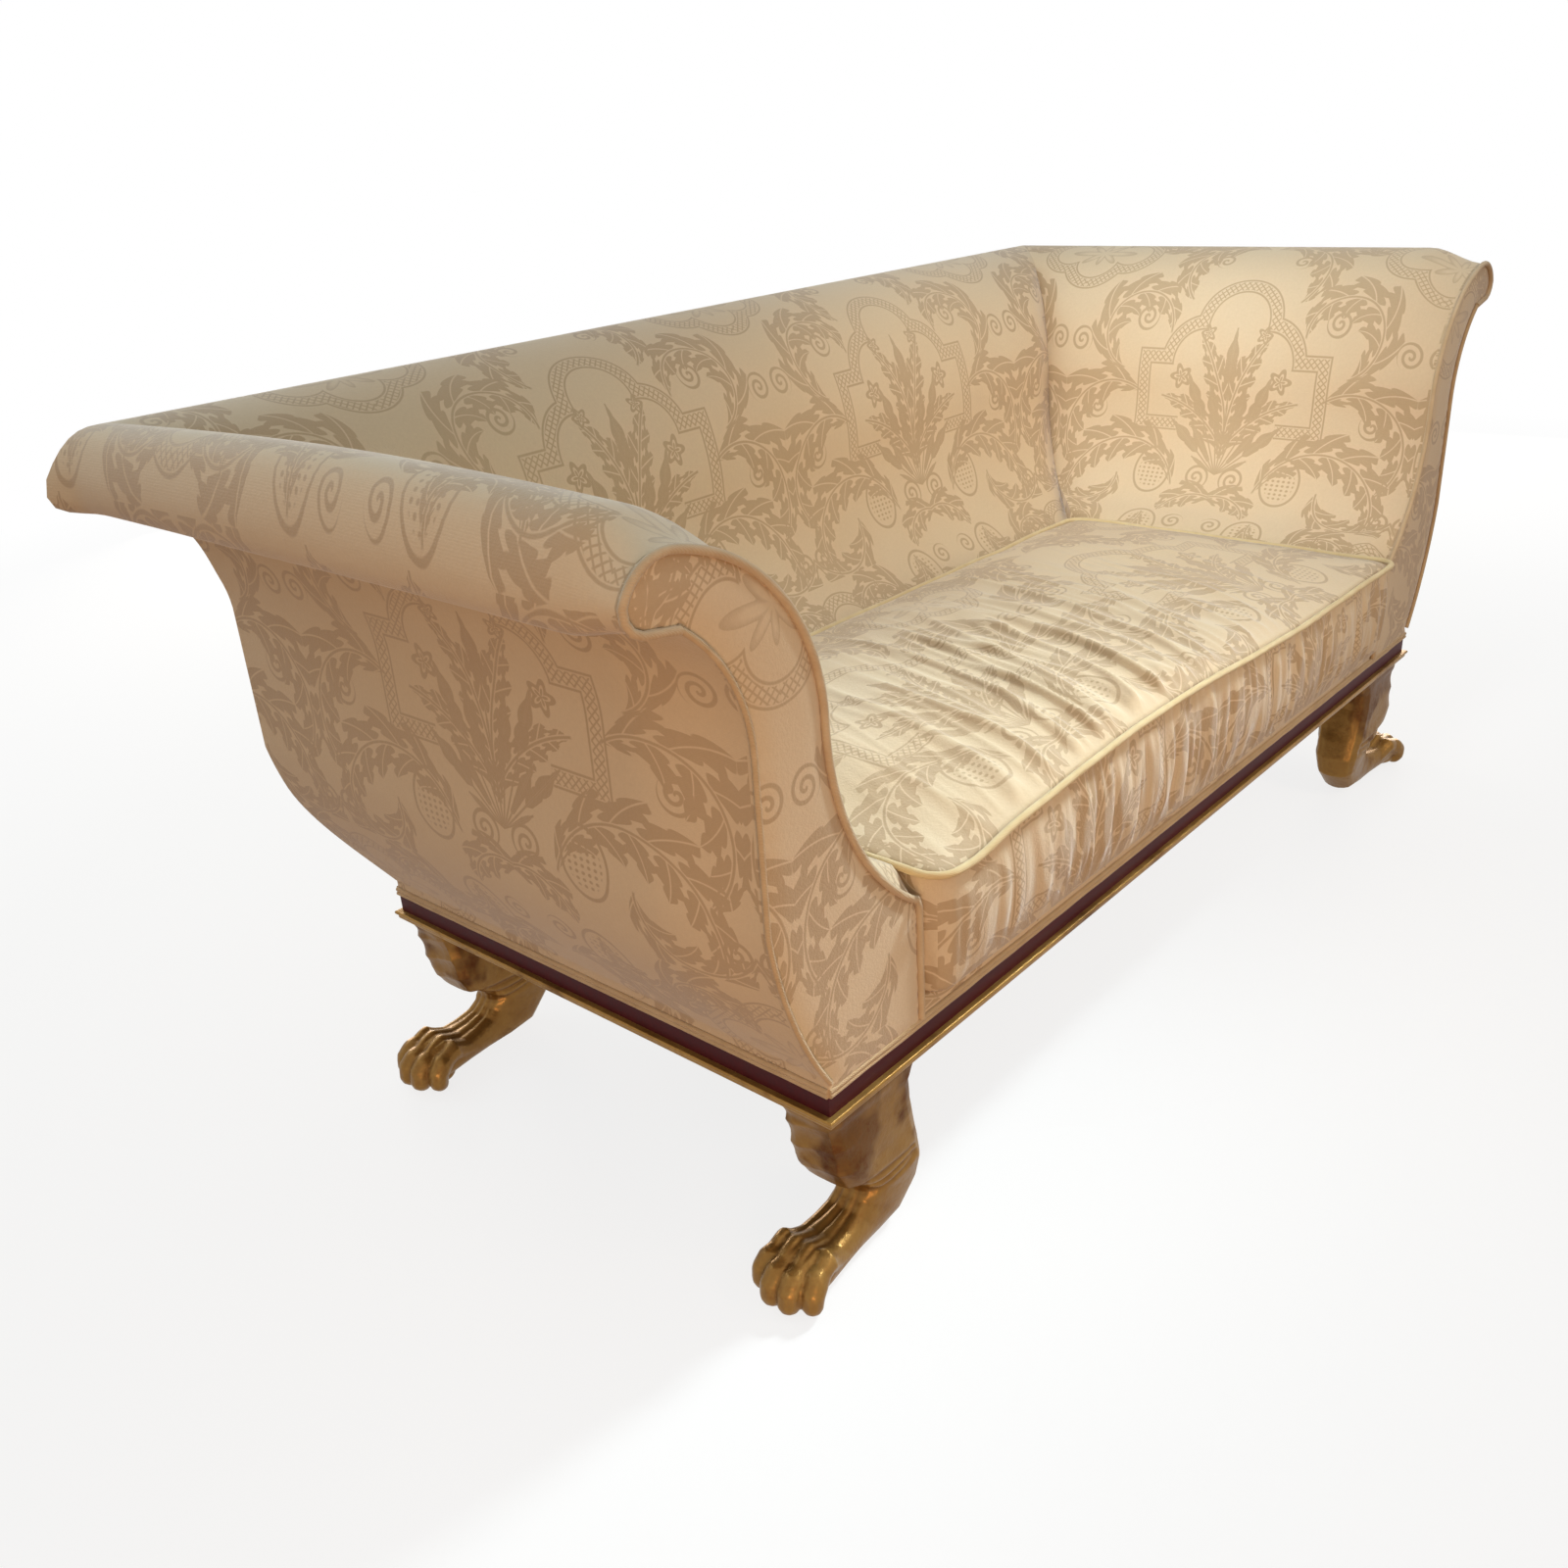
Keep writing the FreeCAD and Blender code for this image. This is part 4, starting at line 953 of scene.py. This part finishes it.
def seamLift(x, y):  # how far the seam stands above its level, along the front and fading to the back
    front = 1 - ease((y - squabLow.y) / (squabHigh.y - squabLow.y))
    rise = squab["rise"] * math.exp(-((x - squab["riseAt"]) / squab["riseWide"]) ** 2)
    dip = squab["dip"] * math.exp(-((x - squab["dipAt"]) / squab["dipWide"]) ** 2)
    wave = 0.0022 * noise.noise(Vector((x * 9, y * 9, 2)))
    return (rise - dip) * front + wave


def squabBlank():
    low, high, seam = squabLow, squabHigh, squabSeam
    bm = bmesh.new()
    bmesh.ops.create_cube(bm, size=1)
    size = Vector((high.x - low.x, high.y - low.y, seam - low.z))
    bmesh.ops.scale(bm, vec=size - Vector((squab["shrink"], squab["shrink"], 0)), verts=bm.verts)
    middle = ((low.x + high.x) / 2, (low.y + high.y) / 2, (low.z + seam) / 2)
    bmesh.ops.translate(bm, vec=middle, verts=bm.verts)
    uprights = [edge for edge in bm.edges if abs(edge.verts[0].co.z - edge.verts[1].co.z) > 0.1]
    roundEdges(bm, uprights, squab["round"], 5)
    return remeshed(bm, "squabBlank", squab["voxel"])


def edgeRoom(co):  # distance in from the squab's sides
    low, high = squabLow, squabHigh
    return min(co.x - low.x, high.x - co.x, co.y - low.y, high.y - co.y)


def swellCloth(mesh):
    rest = [vert.co.copy() for vert in mesh.vertices]
    pad = bpy.data.objects.new("squabCloth", mesh)
    scene.collection.objects.link(pad)
    held = pad.vertex_groups.new(name="held")
    sole = [vert.index for vert in mesh.vertices if vert.co.z < squabLow.z + 0.004]
    rim = [vert.index for vert in mesh.vertices
           if abs(vert.co.z - squabSeam) < 0.006 and edgeRoom(vert.co) < 0.014]
    held.add(sole, 1, "REPLACE")
    held.add(rim, 0.9, "REPLACE")
    cloth = pad.modifiers.new("swell", "CLOTH")
    cloth.settings.use_pressure = True
    cloth.settings.uniform_pressure_force = squab["pressure"]
    cloth.settings.vertex_group_mass = "held"
    cloth.settings.effector_weights.gravity = 0
    cloth.settings.bending_stiffness = 0.2
    cloth.point_cache.frame_start = 1
    cloth.point_cache.frame_end = squab["frames"]
    for step in range(1, squab["frames"] + 1):
        scene.frame_set(step)
    view = bpy.context.evaluated_depsgraph_get()
    swollen = bpy.data.meshes.new_from_object(pad.evaluated_get(view))
    bpy.data.objects.remove(pad)
    for vert, start in zip(swollen.vertices, rest):
        move = vert.co - start
        if move.length > squab["cap"]:
            vert.co = start + move.normalized() * squab["cap"]
    scene.frame_set(1)
    return swollen


def foldHeight(x, y):  # long soft creases that run back from the front seam
    back = y - squabLow.y
    lean = x - squab["lean"] * back
    near = math.exp(-((lean - squab["foldsAt"]) / squab["foldsWide"]) ** 2)
    near *= ease(back / 0.03) * (1 - ease((back - 0.22) / 0.40))
    broad = 1 - abs(noise.noise(Vector((lean * 15, back * 2.2, 4)))) * 2.2
    fine = 1 - abs(noise.noise(Vector((lean * 38, back * 3.4, 8)))) * 2.2
    return squab["fold"] * near * (max(0, broad) ** 3 + 0.5 * max(0, fine) ** 3)


def sculptSquab(bm):
    low, high, seam = squabLow, squabHigh, squabSeam
    middle = (low + high) / 2
    length = high.x - low.x
    depth = high.y - low.y
    for vert in bm.verts:
        co = vert.co
        level = ease((co.z - low.z) / (seam - low.z))
        room = edgeRoom(co)
        lift = seamLift(co.x, co.y) * level
        if vert.normal.z > 0.35 and co.z > seam - 0.012:
            wide = max(0, 1 - abs(2 * co.x / length) ** 3.5)
            deep = max(0, 1 - abs(2 * (co.y - middle.y) / depth) ** 3)
            lift += squab["crown"] * math.sqrt(wide * deep) + foldHeight(co.x, co.y) * ease(room / 0.03)
            lift += squab["slack"] * noise.noise(Vector((co.x * 5, co.y * 6, 1))) * ease(room / 0.08)
        elif abs(vert.normal.z) < 0.6:
            share = min(1, max(0, (co.z - low.z) / (seam - low.z)))
            belly = math.sin(math.pi * share)
            pull = noise.noise(Vector((co.x * 62, co.y * 62, share * 1.2)))
            pull += 0.6 * noise.noise(Vector((co.x * 120, co.y * 120, share * 2 + 5)))
            pull *= 0.35 + 0.65 * ease((co.x + 0.50) / 0.20)  # the left end of the border lies smoother
            out = (squab["belly"] * 0.4 + squab["gather"] * pull) * belly + 0.0012 * pull * ease(share * 3)
            co += Vector((vert.normal.x, vert.normal.y, 0)) * out
        co.z += lift
        co.x = min(max(co.x, low.x + 0.001), high.x - 0.001)
        co.y = min(max(co.y, low.y - 0.004), high.y - 0.001)
        co.z = max(co.z, low.z)


def buildSquab():
    low, high, seam = squabLow, squabHigh, squabSeam
    mesh = squabBlank()
    mesh = swellCloth(mesh)
    bm = bmesh.new()
    bm.from_mesh(mesh)
    bm.normal_update()
    fine = [face for face in bm.faces if face.normal.z > 0.3 or face.calc_center_median().y < low.y + 0.05]
    edges = list({edge for face in fine for edge in face.edges})
    bmesh.ops.subdivide_edges(bm, edges=edges, cuts=1, use_grid_fill=True, smooth=0.6)
    bm.normal_update()
    cloth = bm.loops.layers.uv.new("cloth")
    for face in bm.faces:  # the map is laid before the cover is gathered, so the figure follows its folds
        spot = face.calc_center_median()
        flat = spot.z > seam - 0.008 or spot.z < low.z + 0.004
        along = min(spot.y - low.y, high.y - spot.y) < min(spot.x - low.x, high.x - spot.x)
        for loop in face.loops:
            co = loop.vert.co
            across = co.x - squab["mapAcross"] if flat or along else co.y
            up = co.y + squab["mapBack"] if flat else co.z - squab["mapUp"]
            loop[cloth].uv = (across, up)
    sculptSquab(bm)
    bmesh.ops.smooth_vert(bm, verts=bm.verts, factor=0.3, use_axis_x=True, use_axis_y=True, use_axis_z=True)
    piece = makePiece(bm, "squab", damask, "cushion", ["seat_cushion"], 180)
    squabCord(seam)


def squabCord(seam):
    low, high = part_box("cushion_piping")
    left, right = low.x + squab["cord"], high.x - squab["cord"]
    front, back = low.y + squab["cord"], high.y - squab["cord"]
    turn = squab["round"]
    bow = -(turn - turn / math.sqrt(2))
    stops = [(left + turn, front, 0), (right - turn, front, bow), (right, front + turn, 0),
             (right, back - turn, bow), (right - turn, back, 0), (left + turn, back, bow),
             (left, back - turn, 0), (left, front + turn, bow)]
    bm = bmesh.new()
    order = walkLine(bm, drawLine(bm, stops, closed=True))
    points = [Vector((vert.co.x, vert.co.y, seam + seamLift(vert.co.x, vert.co.y))) for vert in order]
    bm.free()
    tubePiece(points, squab["cord"], "squabPiping", creamPiping, "cushion", ["cushion_piping"],
              closed=True)


buildSquab()
print("squab stuffed")

# camera where the photograph was taken, floor and soft light
shot = {"place": (-1.6744, railMiddle - 1.1270, 1.1490), "look": (0.66990, 0.60997, -0.42328), "roll": -3.83,
        "lens": 32.74, "sensor": 36}
studio = {
    "floor": colour(250, 249, 245), "bounce": colour(132, 100, 76), "floorSize": 40,
    "glow": 0.80, "fadeFrom": 1.5, "fadeRun": 2.6,
    "world": 0.47, "worldTint": (0.92, 0.97, 1.0, 1),
    "lamps": [  # name, place, aim, size, power, tint, spread in degrees
        ("lowWarm", (-2.6, -2.3, 0.55), (-0.3, -0.3, 0.5), 1.4, 26, (1.0, 0.60, 0.34), 160),
        ("frontHigh", (0.4, -2.6, 2.2), (0.2, -0.2, 0.4), 0.8, 1.6, (1.0, 0.76, 0.52), 50),
        ("sideSky", (2.66, -1.20, 3.55), (-0.36, -0.40, 0.45), 0.80, 3.0, (0.80, 0.93, 1.0), 17),
        ("rightBeam", (-0.7, -0.25, 1.9), (0.78, 0.0, 0.6), 0.5, 1.5, (0.84, 0.94, 1.0), 40),
        ("backWindow", (-1.0, 2.9, 2.4), (0, 0.3, 0.8), 1.8, 6, (0.80, 0.92, 1.0), 120),
        ("rollWindow", (-1.05, 2.0, 1.9), (-0.95, -0.1, 0.86), 0.4, 0.3, (0.66, 0.86, 1.0), 26),
        ("rearFill", (0.8, 3.4, 0.7), (0, 0.4, 0.4), 1.6, 24, (1.0, 0.92, 0.82), 120),
        ("rightFill", (3.6, 0.3, 0.7), (1.0, 0, 0.4), 1.6, 18, (1.0, 0.92, 0.82), 120),
    ],
}

cameraData = bpy.data.cameras.new("viewpoint")
cameraData.lens = shot["lens"]
cameraData.sensor_width = shot["sensor"]
camera = bpy.data.objects.new("viewpoint", cameraData)
scene.collection.objects.link(camera)
turn = Vector(shot["look"]).to_track_quat("-Z", "Y").to_matrix().to_4x4()
roll = Matrix.Rotation(math.radians(shot["roll"]), 4, "Z")
camera.matrix_world = Matrix.Translation(shot["place"]) @ turn @ roll
scene.camera = camera

bm = bmesh.new()
bmesh.ops.create_grid(bm, x_segments=2, y_segments=2, size=studio["floorSize"])
mesh = bpy.data.meshes.new("floor")
bm.to_mesh(mesh)
bm.free()
floor = bpy.data.objects.new("floor", mesh)
scene.collection.objects.link(floor)
paint = Paint(bpy.data.materials.new("paleFloor"))
spot = paint.node("ShaderNodeTexCoord").outputs["Object"]
away = paint.node("ShaderNodeVectorMath", {"operation": "LENGTH"}, {0: spot}).outputs["Value"]
fade = paint.math("MULTIPLY_ADD", away, 1 / studio["fadeRun"], -studio["fadeFrom"] / studio["fadeRun"],
                  clamp=True)
share = fade * (1 - studio["glow"]) + studio["glow"]
glow = paint.node("ShaderNodeEmission", None, {"Color": (1, 1, 1, 1), "Strength": 1.0})
matte = paint.node("ShaderNodeBsdfDiffuse", None, {"Color": studio["bounce"]})
pale = paint.node("ShaderNodeBsdfDiffuse", None, {"Color": studio["floor"]})
whole = paint.mixShader(paint.directSight(), matte, paint.mixShader(share, pale, glow))
paint.feed(paint.tree.nodes["Material Output"].inputs["Surface"], whole.outputs[0])
floor.data.materials.append(paint.owner)

sky = Paint(bpy.data.worlds.new("studio"))
scene.world = sky.owner
light = sky.tree.nodes["Background"]
sky.feed(light.inputs["Color"], studio["worldTint"])
sky.feed(light.inputs["Strength"], studio["world"])
white = sky.node("ShaderNodeBackground", None, {"Color": (1, 1, 1, 1)})
whole = sky.mixShader(sky.directSight(), light, white)
sky.feed(sky.tree.nodes["World Output"].inputs["Surface"], whole.outputs[0])

for name, place, aim, size, power, tint, spread in studio["lamps"]:
    data = bpy.data.lights.new(name, "AREA")
    data.shape = "DISK"
    data.size = size
    data.energy = power
    data.spread = math.radians(spread)
    data.color = tint
    lamp = bpy.data.objects.new(name, data)
    scene.collection.objects.link(lamp)
    lamp.location = place
    lamp.rotation_euler = (Vector(aim) - Vector(place)).to_track_quat("-Z", "Y").to_euler()
print("camera and light set")
